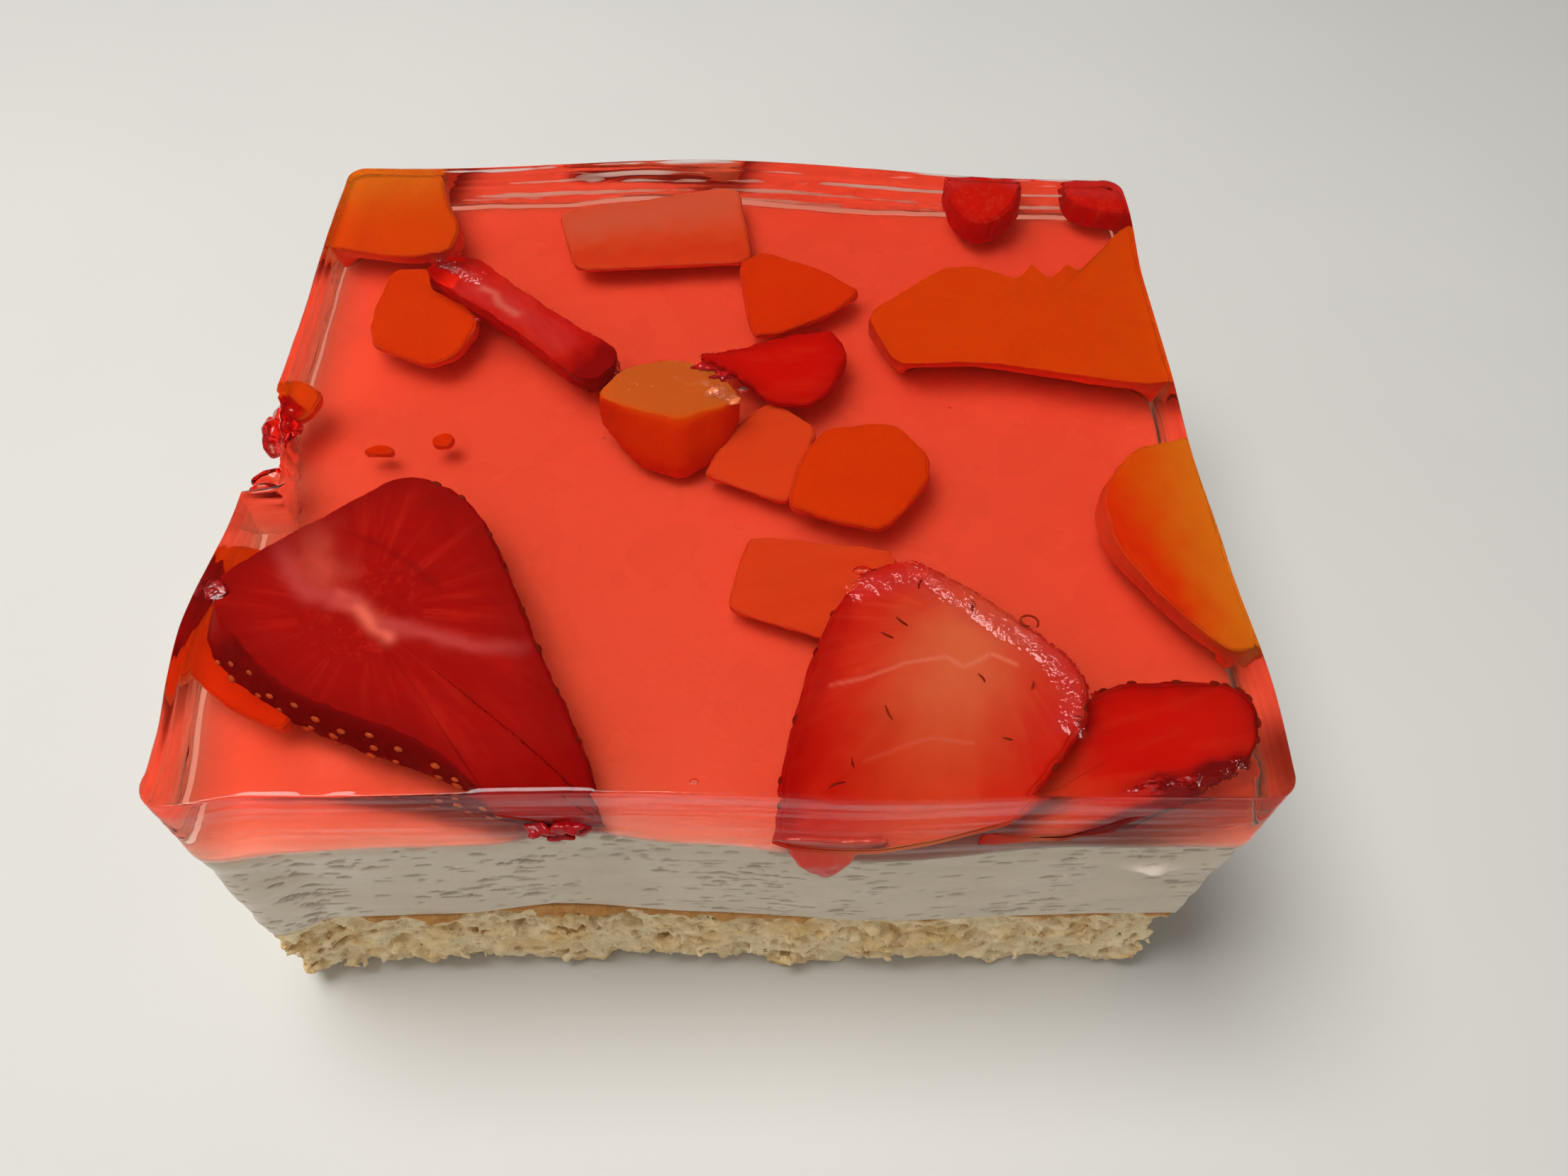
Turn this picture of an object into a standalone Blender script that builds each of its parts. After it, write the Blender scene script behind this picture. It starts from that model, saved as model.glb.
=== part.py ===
"""A cut piece of no-bake cheesecake: sponge, cheese layer and clear jelly with fruit set in it."""
import math

import bmesh
import bpy
from mathutils import Vector, noise

MM = 0.001

# driving sizes, in millimetres; x runs along the front, y from front to back, z up from the sponge's foot
WIDTH = 100.0
DEPTH = 89.6
SPONGE_TOP = 18.0
JELLY_BASE = 36.2
JELLY_TOP = 47.0
BACK_SWELL = 0.4             # the jelly's top is a little higher at the middle of the back
GAP = 0.3                    # between pieces that touch
CORNER = 2.2                 # radius of the upright corners
CORNER_STEPS = 3
FRONT = -DEPTH / 2
BACK = DEPTH / 2
LEFT = -WIDTH / 2
RIGHT = WIDTH / 2

# how far the knife wandered outwards on each side: (place along the side, half-width, shift)
KNIFE = {
    "front": ((-12.0, 24.0, -0.4), (14.0, 14.0, 0.4), (-48.0, 7.0, 1.0)),
    "back": ((-2.0, 42.0, 2.6),),
    "left": ((-27.0, 15.0, 1.4), (34.0, 20.0, 0.3)),
    "right": ((-33.0, 15.0, 0.7), (40.0, 16.0, 0.9), (-4.0, 14.0, -0.4)),
}
# the broken place in the jelly's left side
NOTCH_FRONT = -10.4
NOTCH_BACK = 5.0
NOTCH_DEPTH = 3.4
# rises and dips of the line between jelly and cheese along the front: (x, half-width, height)
JELLY_LINE = ((-13.5, 10.0, 2.6), (15.0, 17.0, -2.6), (-44.0, 14.0, -1.0))
# the same for the line between cheese and sponge
SPONGE_LINE = ((-17.0, 14.0, 2.4), (-49.0, 9.0, -3.2), (22.0, 20.0, -1.2))
SPACING = 2.6                # between outline points, the same on all layers so that they face each other
LINE_REACH = 9.0             # how far in from the side those lines level out
TRIM_LOW = 20.0              # the block that trims the fruit reaches from here
TRIM_HIGH = 60.0             # to here

# fruit in the jelly: outline in plan, height and slopes of top and base, corner cutting, roundness of the edges
FRUIT = {
    "peach_back_left": {
        "outline": ((-55, 50), (-39.5, 50), (-37, 40), (-34.5, 35), (-35, 29.5), (-41, 28), (-55, 31)),
        "top": (44.6, 0.0, 0.02), "base": (38.0, 0.0, 0.0), "cut": 0.16, "edge": 1.0, "colour": "#E07A12"},
    "peach_back_right": {
        "outline": ((15.5, 20), (25.5, 28.5), (30, 29), (35, 26.5), (37, 29.5), (39, 26.5), (41.5, 29.5), (43, 28),
                    (50, 37), (56, 37), (56, 9.5), (47, 7.5), (29, 11.5), (18.5, 11)),
        "top": (44.4, 0.03, 0.0), "base": (38.0, 0.0, 0.0), "cut": 0.12, "edge": 0.4, "colour": "#E07A12"},
    "peach_right": {
        "outline": ((39, -8), (43.5, -2), (48, -0.8), (56, -1), (56, -24), (48.5, -30.5), (43, -23.5), (39, -16)),
        "top": (45.4, 0.05, 0.0), "base": (38.0, 0.0, 0.0), "cut": 0.18, "edge": 1.2, "colour": "#E58A1C"},
    "peach_centre": {
        "outline": ((-15.5, 4), (-12.5, 8.5), (-7, 10), (-2, 8.5), (1, 4), (-1, -1), (-5.5, -4.5), (-11, -2.5)),
        "top": (47.5, 0.0, 0.03), "base": (38.6, 0.0, 0.0), "cut": 0.14, "edge": 0.7, "colour": "#E98A2A",
        "lean": 4.2},
    "berry_back": {
        "outline": ((27.5, 50), (27.5, 39.5), (31, 35.5), (35.5, 38), (38, 43), (38, 50)),
        "top": (45.6, 0.0, 0.0), "base": (38.2, 0.0, 0.0), "cut": 0.24, "edge": 1.6, "colour": "#B0150C"},
    "berry_corner": {
        "outline": ((44, 51), (43.2, 42), (47, 39.5), (56, 40), (56, 51)),
        "top": (44.8, 0.0, 0.0), "base": (38.2, 0.0, 0.0), "cut": 0.2, "edge": 1.4, "colour": "#B0150C"},
    "strawberry_stick": {
        "outline": ((-37.5, 24), (-35, 27.5), (-30.5, 26.2), (-21, 18), (-13.6, 12.6), (-13.6, 9.4), (-17.5, 7.2),
                    (-26.5, 15.4)),
        "top": (46.2, -0.08, 0.04), "base": (39.2, -0.04, 0.02), "cut": 0.22, "edge": 0.8, "colour": "#B01A12"},
    "strawberry_front_left": {
        "outline": ((-37, -6), (-29, -6.5), (-23.5, -14), (-20.5, -24), (-15, -35), (-11.5, -44), (-12.5, -52),
                    (-27, -46), (-40, -36), (-50, -28.5), (-52.5, -22), (-45, -11.5)),
        "top": (44.6, 0.01, 0.03), "base": (38.4, 0.03, 0.0), "cut": 0.25, "edge": 2.2, "colour": "#A30E08"},
    "strawberry_front_right": {
        "outline": ((16.5, -17.5), (22.5, -20.5), (28, -26), (33.5, -31), (33, -37.5), (25, -46), (12, -54), (3.5, -50),
                    (4.5, -40), (8, -28), (11, -21.5)),
        "top": (45.9, 0.085, 0.02), "base": (40.6, 0.2, 0.02), "cut": 0.25, "edge": 1.2, "colour": "#C03A22"},
    "strawberry_right": {
        "outline": ((31, -32), (41, -30), (49, -31.5), (50.2, -37), (45.5, -46), (33, -52), (22, -50), (25, -39)),
        "top": (43.4, 0.26, 0.0), "base": (40.4, 0.26, 0.0), "cut": 0.25, "edge": 1.5, "colour": "#A30E08"},
}
# the torn tip that hangs from the front right slice over the cheese: outline in x and z
TIP = ((4.0, 42.0), (15.0, 42.0), (13.5, 35.0), (9.5, 29.6), (6.2, 31.2), (4.2, 36.0))
TIP_FOOT = FRONT - 1.25      # its back at its lowest point, just clear of the cheese
TIP_THICK = 1.0
TIP_LEAN = 0.12              # how far its back leans into the slice for each millimetre up


def srgb(code):
    """Linear colour from a hex code."""
    values = [int(code[i:i + 2], 16) / 255 for i in (1, 3, 5)]
    return [v / 12.92 if v < 0.04045 else ((v + 0.055) / 1.055) ** 2.4 for v in values] + [1.0]


def food_material(name, code, roughness, transmission=0.0):
    """Principled material of one food."""
    material = bpy.data.materials.new(name)
    material.use_nodes = True
    shader = material.node_tree.nodes["Principled BSDF"]
    shader.inputs["Base Color"].default_value = srgb(code)
    shader.inputs["Roughness"].default_value = roughness
    shader.inputs["Metallic"].default_value = 0.0
    shader.inputs["Transmission Weight"].default_value = transmission
    return material


def bump(value, place, half_width):
    """One smooth rise of height 1 at its place, level beyond its half-width."""
    t = min(1.0, abs(value - place) / half_width)
    return 0.5 + 0.5 * math.cos(math.pi * t)


def knife_shift(x, y, normal):
    """How far the cut side lies outside the straight rectangle at this point."""
    total = 0.0
    weights = {"front": max(0.0, -normal.y), "back": max(0.0, normal.y),
               "left": max(0.0, -normal.x), "right": max(0.0, normal.x)}
    for side, waves in KNIFE.items():
        along = x if side in ("front", "back") else y
        total += weights[side] * sum(size * bump(along, place, half) for place, half, size in waves)
    return total


def plan_outline(spacing):
    """Points and outward normals round the piece, anticlockwise from the front left corner."""
    corners = ((RIGHT - CORNER, FRONT + CORNER, -90), (RIGHT - CORNER, BACK - CORNER, 0),
               (LEFT + CORNER, BACK - CORNER, 90), (LEFT + CORNER, FRONT + CORNER, 180))
    arcs = []
    for cx, cy, start in corners:
        arc = []
        for i in range(CORNER_STEPS + 1):
            angle = math.radians(start + 90 * i / CORNER_STEPS)
            normal = Vector((math.cos(angle), math.sin(angle)))
            arc.append((Vector((cx, cy)) + CORNER * normal, normal))
        arcs.append(arc)
    points = []
    for index, arc in enumerate(arcs):
        points.extend(arc)
        end, normal = arc[-1]
        start = arcs[(index + 1) % 4][0][0]
        count = round((start - end).length / spacing)
        points.extend((end.lerp(start, i / count), normal) for i in range(1, count))
    return [(p + n * knife_shift(p.x, p.y, n), n) for p, n in points]


def step_in(p, inset):
    """Point moved inwards by shrinking the outline towards the middle of the piece."""
    return Vector((p.x * (1 - inset / RIGHT), p.y * (1 - inset / BACK)))


def layer_height(base, waves, p, inset):
    """Height of the face between two layers: wavy along the front, calmer at the back, level further in."""
    calm = 0.35 + 0.65 * bump(p.y, FRONT, DEPTH)
    rise = sum(size * bump(p.x, place, half) for place, half, size in waves)
    ripple = 0.35 * noise.noise(Vector((p.x * 0.11, p.y * 0.11, base)))
    return base + (rise * calm + ripple) * (1 - min(1.0, inset / LINE_REACH))


def split_strip(outer, inner):
    """Cut each four-sided face between two rings along the same diagonal, so that facing layers match."""
    for i, vert in enumerate(outer):
        partner = inner[(i + 1) % len(inner)]
        for face in set(vert.link_faces) & set(partner.link_faces):
            if len(face.verts) == 4:
                bmesh.utils.face_split(face, vert, partner)


def grow_rings(name, rings, material, layer=False):
    """Closed body from rings of points, lowest first, each extruded from the one before."""
    bm = bmesh.new()
    first = [bm.verts.new(Vector(p) * MM) for p in rings[0]]
    bm.faces.new(first).normal_flip()
    edges = [bm.edges.get((first[i - 1], first[i])) for i in range(len(first))]
    strips = [first]
    for points in rings[1:]:
        ring = strips[-1]
        made = bmesh.ops.extrude_edge_only(bm, edges=edges)["geom"]
        fresh = {}
        for edge in (e for e in made if isinstance(e, bmesh.types.BMEdge)):
            for vert in edge.verts:
                fresh[vert.co.to_tuple(7)] = vert
        ring = [fresh[v.co.to_tuple(7)] for v in ring]
        for vert, point in zip(ring, points):
            vert.co = Vector(point) * MM
        edges = [bm.edges.get((ring[i - 1], ring[i])) for i in range(len(ring))]
        strips.append(ring)
    bm.faces.new(ring)
    if layer:
        split_strip(strips[1], strips[0])
        split_strip(strips[-2], strips[-1])
    bmesh.ops.recalc_face_normals(bm, faces=bm.faces)
    mesh = bpy.data.meshes.new(name)
    bm.to_mesh(mesh)
    bm.free()
    if material:
        mesh.materials.append(material)
    body = bpy.data.objects.new(name, mesh)
    bpy.context.scene.collection.objects.link(body)
    return body


def notch_shift(x, y, z):
    """Inward step where the jelly's left side is broken, less deep at mid height."""
    if x > LEFT + 8 or not NOTCH_FRONT < y < NOTCH_BACK:
        return 0.0
    along = (NOTCH_BACK - y) / (NOTCH_BACK - NOTCH_FRONT)
    lump = 1.8 * bump(y, 0.0, 4.5) * bump(z, 42.0, 3.5)
    return NOTCH_DEPTH * min(1.0, 1.2 * along) - lump


def jelly_body(name, material):
    """Clear slab with wavy cut sides, a softened rim and the broken place."""
    outline = plan_outline(SPACING)
    profile = ((LINE_REACH, 0.0), (0.5, 0.0), (0.0, 0.08), (0.1, 0.36), (-0.15, 0.64), (0.0, 0.9), (0.25, 0.975),
               (0.9, 1.0), (LINE_REACH, 1.0))
    rings = []
    for inset, rise in profile:
        ring = []
        for p, n in outline:
            low = layer_height(JELLY_BASE, JELLY_LINE, p, inset if rise == 0.0 else 0.0) + GAP / 2
            high = JELLY_TOP + BACK_SWELL * bump(p.x, 0.0, WIDTH / 2) * bump(p.y, BACK, 12.0)
            z = low + (high - low) * rise
            striation = 0.22 * noise.noise(Vector((p.x * 0.05, p.y * 0.05, z * 0.9))) if inset < 0.5 else 0.0
            spot = step_in(p, inset) + n * (striation - notch_shift(p.x, p.y, z))
            ring.append((spot.x, spot.y, z))
        rings.append(ring)
    return grow_rings(name, rings, material, layer=True)


def knife_prism(name):
    """Tall block with the cut sides, to trim fruit flush with them."""
    outline = plan_outline(3.0)
    rings = []
    for z in (TRIM_LOW, TRIM_HIGH):
        spots = [p - n * notch_shift(p.x, p.y, JELLY_TOP) for p, n in outline]
        rings.append([(spot.x, spot.y, z) for spot in spots])
    return grow_rings(name, rings, None)


def cheese_body(name, material):
    """Cheese layer: nearly upright sides with shallow long dents."""
    outline = plan_outline(SPACING)
    profile = ((LINE_REACH, 0.0), (0.5, 0.0), (0.3, 0.25), (0.3, 0.5), (0.3, 0.75), (0.4, 1.0), (LINE_REACH, 1.0))
    rings = []
    for inset, rise in profile:
        ring = []
        for p, n in outline:
            level = inset >= LINE_REACH
            low = layer_height(SPONGE_TOP, SPONGE_LINE, p, inset) + GAP / 2
            high = layer_height(JELLY_BASE, JELLY_LINE, p, inset) - GAP / 2
            z = low + (high - low) * rise
            lean = 1.4 * (1 - rise) * max(0.0, n.x) if not level else 0.0
            dent = 0.0 if rise in (0.0, 1.0) else 0.45 * noise.noise(Vector((p.x * 0.16, p.y * 0.16, z * 0.5)))
            spot = step_in(p, inset) + n * (min(dent, 0.2) - lean)
            ring.append((spot.x, spot.y, z))
        rings.append(ring)
    return grow_rings(name, rings, material, layer=True)


def crumb_relief(p, z):
    """Torn crumb: tufts out and hollows in, in millimetres."""
    coarse = noise.noise(Vector((p.x * 0.17, p.y * 0.17, z * 0.2)))
    fine = noise.noise(Vector((p.x * 0.52 + 9.0, p.y * 0.52, z * 0.45)))
    return 1.2 * coarse + 1.9 * fine


def sponge_body(name, material):
    """Sponge: ragged crumb all round, a flat foot and a skin that follows the cheese."""
    outline = plan_outline(SPACING)
    foot = 0.05
    profile = ((5.0, 0.0), (2.4, foot), (1.5, 0.17), (1.6, 0.32), (1.3, 0.47), (1.6, 0.62), (1.3, 0.77),
               (1.1, 0.92), (1.4, 1.0), (LINE_REACH, 1.0))
    rings = []
    for inset, rise in profile:
        ring = []
        for p, n in outline:
            level = inset >= LINE_REACH
            high = layer_height(SPONGE_TOP, SPONGE_LINE, p, inset) - GAP / 2
            z = high * rise
            ragged = crumb_relief(p, z) if foot <= rise < 0.9 else 0.0
            tuft = 0.6 * noise.noise(Vector((p.x * 0.7, p.y * 0.7, 3.0))) if rise == foot else 0.0
            lean = 0.0 if level else 1.6 * max(0.0, n.x)
            spot = step_in(p, inset) + n * (ragged - lean)
            ring.append((spot.x, spot.y, max(0.0, z + tuft)))
        rings.append(ring)
    return grow_rings(name, rings, material, layer=True)


def cut_corners(points, cut, rounds):
    """Outline with its corners cut again and again: 0.25 gives a smooth curve, less keeps it angular."""
    for _ in range(rounds):
        smoother = []
        for i, point in enumerate(points):
            after = points[(i + 1) % len(points)]
            smoother.append(point.lerp(after, cut))
            smoother.append(point.lerp(after, 1 - cut))
        points = smoother
    return points


def edge_normals(points):
    """Outward normal at each point of a closed outline that may run either way."""
    area = sum(a.x * b.y - b.x * a.y for a, b in zip(points, points[1:] + points[:1]))
    turn = 1 if area > 0 else -1
    normals = []
    for i, point in enumerate(points):
        along = (points[(i + 1) % len(points)] - points[i - 1]).normalized()
        normals.append(Vector((along.y, -along.x)) * turn)
    return normals


def fruit_body(name, spec, material, grow=0.0):
    """Piece of fruit from its outline, between a sloping base and a sloping top, with rounded edges."""
    points = cut_corners([Vector(p) for p in spec["outline"]], spec["cut"], 2)
    normals = edge_normals(points)
    middle = sum(points, Vector((0, 0))) / len(points)
    edge = spec["edge"]
    profile = ((edge, 0.0), (0.0, 0.35), (edge * 0.1, 0.84), (edge * 0.5, 1.0))
    rings = []
    for inset, rise in profile:
        ring = []
        for p, n in zip(points, normals):
            out = p + n * (grow - inset)
            out.y += spec.get("lean", 0.0) * rise * bump(p.y, -4.0, 9.0)
            offset = p - middle
            low = spec["base"][0] + spec["base"][1] * offset.x + spec["base"][2] * offset.y - grow
            high = spec["top"][0] + spec["top"][1] * offset.x + spec["top"][2] * offset.y + grow
            ring.append((out.x, out.y, low + (high - low) * rise))
        rings.append(ring)
    return grow_rings(name, rings, material)


def tip_body(name, material, grow=0.0):
    """Torn tip that hangs over the front, from its outline in x and z; its upper end turns into the slice."""
    points = cut_corners([Vector(p) for p in TIP], 0.25, 1)
    normals = edge_normals(points)
    lowest = min(p.y for p in points)
    rings = []
    for depth, inset in ((grow, 0.5), (-TIP_THICK * 0.35, 0.0), (-TIP_THICK * 0.7, 0.1), (-TIP_THICK - grow, 0.7)):
        ring = []
        for p, n in zip(points, normals):
            spot = p + n * (grow - inset)
            ring.append((spot.x, TIP_FOOT + depth + TIP_LEAN * (spot.y - lowest), spot.y))
        rings.append(ring)
    return grow_rings(name, rings, material)


def apply_boolean(body, other, operation):
    """Cut, join or trim a body with another one, which is then removed."""
    modifier = body.modifiers.new("cut", "BOOLEAN")
    modifier.object = other
    modifier.operation = operation
    modifier.solver = "EXACT"
    graph = bpy.context.evaluated_depsgraph_get()
    mesh = bpy.data.meshes.new_from_object(body.evaluated_get(graph))
    body.modifiers.clear()
    body.data = mesh
    bpy.data.objects.remove(other)


def set_on_origin(bodies):
    """Move every mesh so that the piece stands with the middle of its foot on the origin."""
    points = [v.co for body in bodies for v in body.data.vertices]
    low = Vector([min(p[i] for p in points) for i in range(3)])
    high = Vector([max(p[i] for p in points) for i in range(3)])
    shift = Vector(((low.x + high.x) / 2, (low.y + high.y) / 2, low.z))
    for body in bodies:
        for vertex in body.data.vertices:
            vertex.co -= shift
        body.data.update()


def build():
    for thing in list(bpy.data.objects):
        bpy.data.objects.remove(thing)
    sponge = sponge_body("sponge_base", food_material("sponge crumb", "#D9BE86", 0.9))
    cheese = cheese_body("cheese_layer", food_material("set cream cheese", "#E4DDCE", 0.45))
    jelly = jelly_body("jelly_layer", food_material("red jelly", "#E0321E", 0.05, 0.6))
    bodies = [sponge, cheese, jelly]
    for name, spec in FRUIT.items():
        material = food_material(name.replace("_", " "), spec["colour"], 0.35)
        apply_boolean(jelly, fruit_body("pocket", spec, material, GAP), "DIFFERENCE")
        fruit = fruit_body(name, spec, material)
        apply_boolean(fruit, knife_prism("trim"), "INTERSECT")
        if name == "strawberry_front_right":
            apply_boolean(jelly, tip_body("pocket", material, GAP), "DIFFERENCE")
            apply_boolean(fruit, tip_body("tip", material), "UNION")
        bodies.append(fruit)
    set_on_origin(bodies)
    for body in bodies:
        print(body.name, len(body.data.polygons), "faces")


build()
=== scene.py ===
import math
import random

import bmesh
import bpy
import numpy as np
from mathutils import Matrix, Vector, noise


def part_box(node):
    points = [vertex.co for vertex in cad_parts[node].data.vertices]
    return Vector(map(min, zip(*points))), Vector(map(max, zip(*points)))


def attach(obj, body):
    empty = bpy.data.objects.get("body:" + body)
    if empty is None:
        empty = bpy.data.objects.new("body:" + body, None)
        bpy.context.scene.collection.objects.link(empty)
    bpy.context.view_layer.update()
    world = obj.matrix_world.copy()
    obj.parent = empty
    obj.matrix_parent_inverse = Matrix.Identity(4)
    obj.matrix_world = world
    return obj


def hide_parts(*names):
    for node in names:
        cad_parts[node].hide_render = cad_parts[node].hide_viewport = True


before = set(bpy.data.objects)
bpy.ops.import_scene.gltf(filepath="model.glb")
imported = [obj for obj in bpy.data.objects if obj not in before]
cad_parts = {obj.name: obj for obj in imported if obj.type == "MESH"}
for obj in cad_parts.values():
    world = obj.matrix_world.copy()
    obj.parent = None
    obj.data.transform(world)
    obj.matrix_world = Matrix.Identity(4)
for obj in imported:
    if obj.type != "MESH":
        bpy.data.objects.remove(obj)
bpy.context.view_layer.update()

scene = bpy.context.scene
scene.view_settings.view_transform = "Standard"  # colours come out as they were mixed

mm = 0.001

# the cut piece in millimetres around the middle of its straight rectangle, with the same sizes as the solids:
# x runs along the front, y from front to back, z up from the foot
cake = {
    "width": 100.0,
    "depth": 89.6,
    "corner": 2.2,
    "spongeTop": 18.0,
    "jellyBase": 36.2,
    "jellyTop": 47.0,
    "lineReach": 9.0,  # how far in the wavy lines between the layers level out
    "lineCalm": 0.35,  # share of their waves that is left at the back
    "lineRipple": (0.35, 0.11),  # height of their fine ripple, waves to the millimetre
    "offMiddle": (0.22, -0.78),  # the straight rectangle's middle, seen from the middle of the jelly's box
    # how far the knife wandered outwards: place along the side, half-width, shift
    "knife": {
        "front": ((-12.0, 24.0, -0.4), (14.0, 14.0, 0.4), (-48.0, 7.0, 1.0)),
        "back": ((-2.0, 42.0, 2.6),),
        "left": ((-27.0, 15.0, 1.4), (34.0, 20.0, 0.3)),
        "right": ((-33.0, 15.0, 0.7), (40.0, 16.0, 0.9), (-4.0, 14.0, -0.4)),
    },
    # rises and dips of the lines along the front: x, half-width, height
    "jellyLine": ((-13.5, 10.0, 2.6), (15.0, 17.0, -2.6), (-44.0, 14.0, -1.0)),
    "spongeLine": ((-17.0, 14.0, 2.4), (-49.0, 9.0, -3.2), (22.0, 20.0, -1.2)),
}
front, back = -cake["depth"] / 2, cake["depth"] / 2
left, right = -cake["width"] / 2, cake["width"] / 2
shrinkSpan = 45.0  # a layer's rings close on its middle over this many millimetres

jellyLow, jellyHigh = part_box("jelly_layer")
place = (np.array(jellyLow) + np.array(jellyHigh)) / 2 / mm
place = np.array((place[0] + cake["offMiddle"][0], place[1] + cake["offMiddle"][1], 0.0))


# sums that all pieces share

def bump(value, at, halfWidth):
    # one smooth rise of height 1 at its place, level beyond its half-width
    t = np.clip(np.abs(value - at) / halfWidth, 0.0, 1.0)
    return 0.5 + 0.5 * np.cos(np.pi * t)


def ripples(spots, waves):
    # smooth noise at each spot, summed over waves, each with its height, its waves to the millimetre (one
    # number, or one for each axis) and where its noise starts
    flat = np.asarray(spots, float).reshape(-1, 3)
    total = np.zeros(len(flat))
    for height, perMm, start in waves:
        total += height * np.array([noise.noise(spot) for spot in (flat * perMm + start).tolist()])
    return total.reshape(np.asarray(spots).shape[:-1])


def knifeReach(side, along):
    # how far out the knife wandered at a place along one side
    return sum(size * bump(along, at, half) for at, half, size in cake["knife"][side])


def knifeShift(x, y, out):
    # how far the cut side lies outside the straight rectangle, weighed by where the side faces
    facing = {
        "front": np.maximum(0.0, -out[..., 1]),
        "back": np.maximum(0.0, out[..., 1]),
        "left": np.maximum(0.0, -out[..., 0]),
        "right": np.maximum(0.0, out[..., 0]),
    }
    total = np.zeros_like(x)
    for side in facing:
        total += facing[side] * knifeReach(side, x if side in ("front", "back") else y)
    return total


def planOutline(count):
    # points and outward directions evenly spaced round the piece, anticlockwise from the front left corner
    radius = cake["corner"]
    runs = (cake["width"] - 2 * radius, cake["depth"] - 2 * radius) * 2
    turn = math.pi * radius / 2
    total = sum(runs) + 4 * turn
    spots, outs = [], []
    for i in range(count):
        way = total * i / count
        side = 0
        while way >= runs[side] + turn:
            way -= runs[side] + turn
            side += 1
        angle = math.radians(90 * side - 90)
        reach = runs[(side + 1) % 2] / 2
        out = Vector((math.cos(angle), math.sin(angle)))
        along = Vector((-math.sin(angle), math.cos(angle)))
        if way < runs[side]:
            spot = out * (reach + radius) + along * (way - runs[side] / 2)
        else:
            corner = out * reach + along * (runs[side] / 2)
            angle += (way - runs[side]) / radius
            out = Vector((math.cos(angle), math.sin(angle)))
            spot = corner + out * radius
        spots.append(spot)
        outs.append(out)
    spots, outs = np.array(spots), np.array(outs)
    return spots + outs * knifeShift(spots[:, 0], spots[:, 1], outs)[:, None], outs


def lineHeight(base, waves, x, y, inset):
    # height of the face between two layers: wavy along the front, calmer at the back, level further in
    calm = cake["lineCalm"] + (1 - cake["lineCalm"]) * bump(y, front, cake["depth"])
    rise = sum(size * bump(x, at, half) for at, half, size in waves)
    height, perMm = cake["lineRipple"]
    ripple = ripples(np.stack([x, y, np.full_like(x, base / perMm)], -1), ((height, perMm, 0.0),))
    return base + (rise * calm + ripple) * (1 - np.minimum(1.0, inset / cake["lineReach"]))


def stepIn(spots, inset):
    # rings shrink towards the middle of the piece, so they never cross at its corners
    return spots * (1 - inset / shrinkSpan)


def closedSkin(name, rings, material, paints=None):
    # one closed skin from rings of spots in millimetres: a grid of faces takes their places, and its
    # seam is joined
    rows, columns = rings.shape[:2]
    bm = bmesh.new()
    bmesh.ops.create_grid(bm, x_segments=columns, y_segments=rows - 1, size=1)
    mesh = bpy.data.meshes.new(name)
    bm.to_mesh(mesh)
    bm.free()
    around = np.concatenate([rings, rings[:, :1]], axis=1)
    mesh.vertices.foreach_set("co", ((around + place) * mm).ravel())
    for paint, values in (paints or {}).items():
        kind = "FLOAT_VECTOR" if values.ndim == 3 else "FLOAT"
        layer = mesh.attributes.new(paint, kind, "POINT")
        values = np.concatenate([values, values[:, :1]], axis=1)
        layer.data.foreach_set("vector" if kind == "FLOAT_VECTOR" else "value", values.ravel())
    bm = bmesh.new()
    bm.from_mesh(mesh)
    bmesh.ops.remove_doubles(bm, verts=bm.verts, dist=1e-6)
    bmesh.ops.recalc_face_normals(bm, faces=bm.faces)
    bm.to_mesh(mesh)
    bm.free()
    mesh.shade_smooth()
    mesh.materials.append(material)
    piece = bpy.data.objects.new(name, mesh)
    scene.collection.objects.link(piece)
    return piece


def settle(piece, node=None):
    # hands a finished piece to the frame
    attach(piece, "root")
    if node:
        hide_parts(node)


# materials

inJelly = 0.03  # fruit and jelly bend light alike, so a sunk face has next to no shine of its own
jellyBend = 1.34  # how strongly jelly bends light
white = (1.0, 1.0, 1.0, 1.0)
tinnedLooks = {"Roughness": 0.4, "IOR": 1.36, "Specular IOR Level": inJelly, "Subsurface Weight": 0.35,
               "Subsurface Radius": (1.0, 0.3, 0.12), "Subsurface Scale": 0.003}


def toLinear(code):
    values = [int(code[i:i + 2], 16) / 255 for i in (1, 3, 5)]
    return [v / 12.92 if v < 0.04045 else ((v + 0.055) / 1.055) ** 2.4 for v in values] + [1.0]


def perMetre(waveMm):
    # texture scale that gives this many millimetres to a wave
    return 1000.0 / waveMm


def plug(node, values):
    # sets plain values on a node's inputs and links sockets to them
    for key, value in values.items():
        if isinstance(value, bpy.types.NodeSocket):
            node.id_data.links.new(value, node.inputs[key])
        else:
            node.inputs[key].default_value = value


def addNode(tree, kind, inputs=None, output=0, **settings):
    # adds a node with its values, links and settings, and gives the output that the next one takes
    node = tree.nodes.new(kind)
    for key, value in settings.items():
        setattr(node, key, value)
    plug(node, inputs or {})
    return node.outputs[output] if len(node.outputs) else None


def paintOver(tree, base, coats):
    # lays coats of colour over a base, each as far as a texture or a painted attribute says
    colour = toLinear(base)
    for where, coat in coats:
        if isinstance(where, str):
            where = addNode(tree, "ShaderNodeAttribute", None, "Fac", attribute_name=where)
        if isinstance(coat, str):
            coat = toLinear(coat)
        colour = addNode(tree, "ShaderNodeMix", {0: where, 6: colour, 7: coat}, 2, data_type="RGBA")
    return colour


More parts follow.
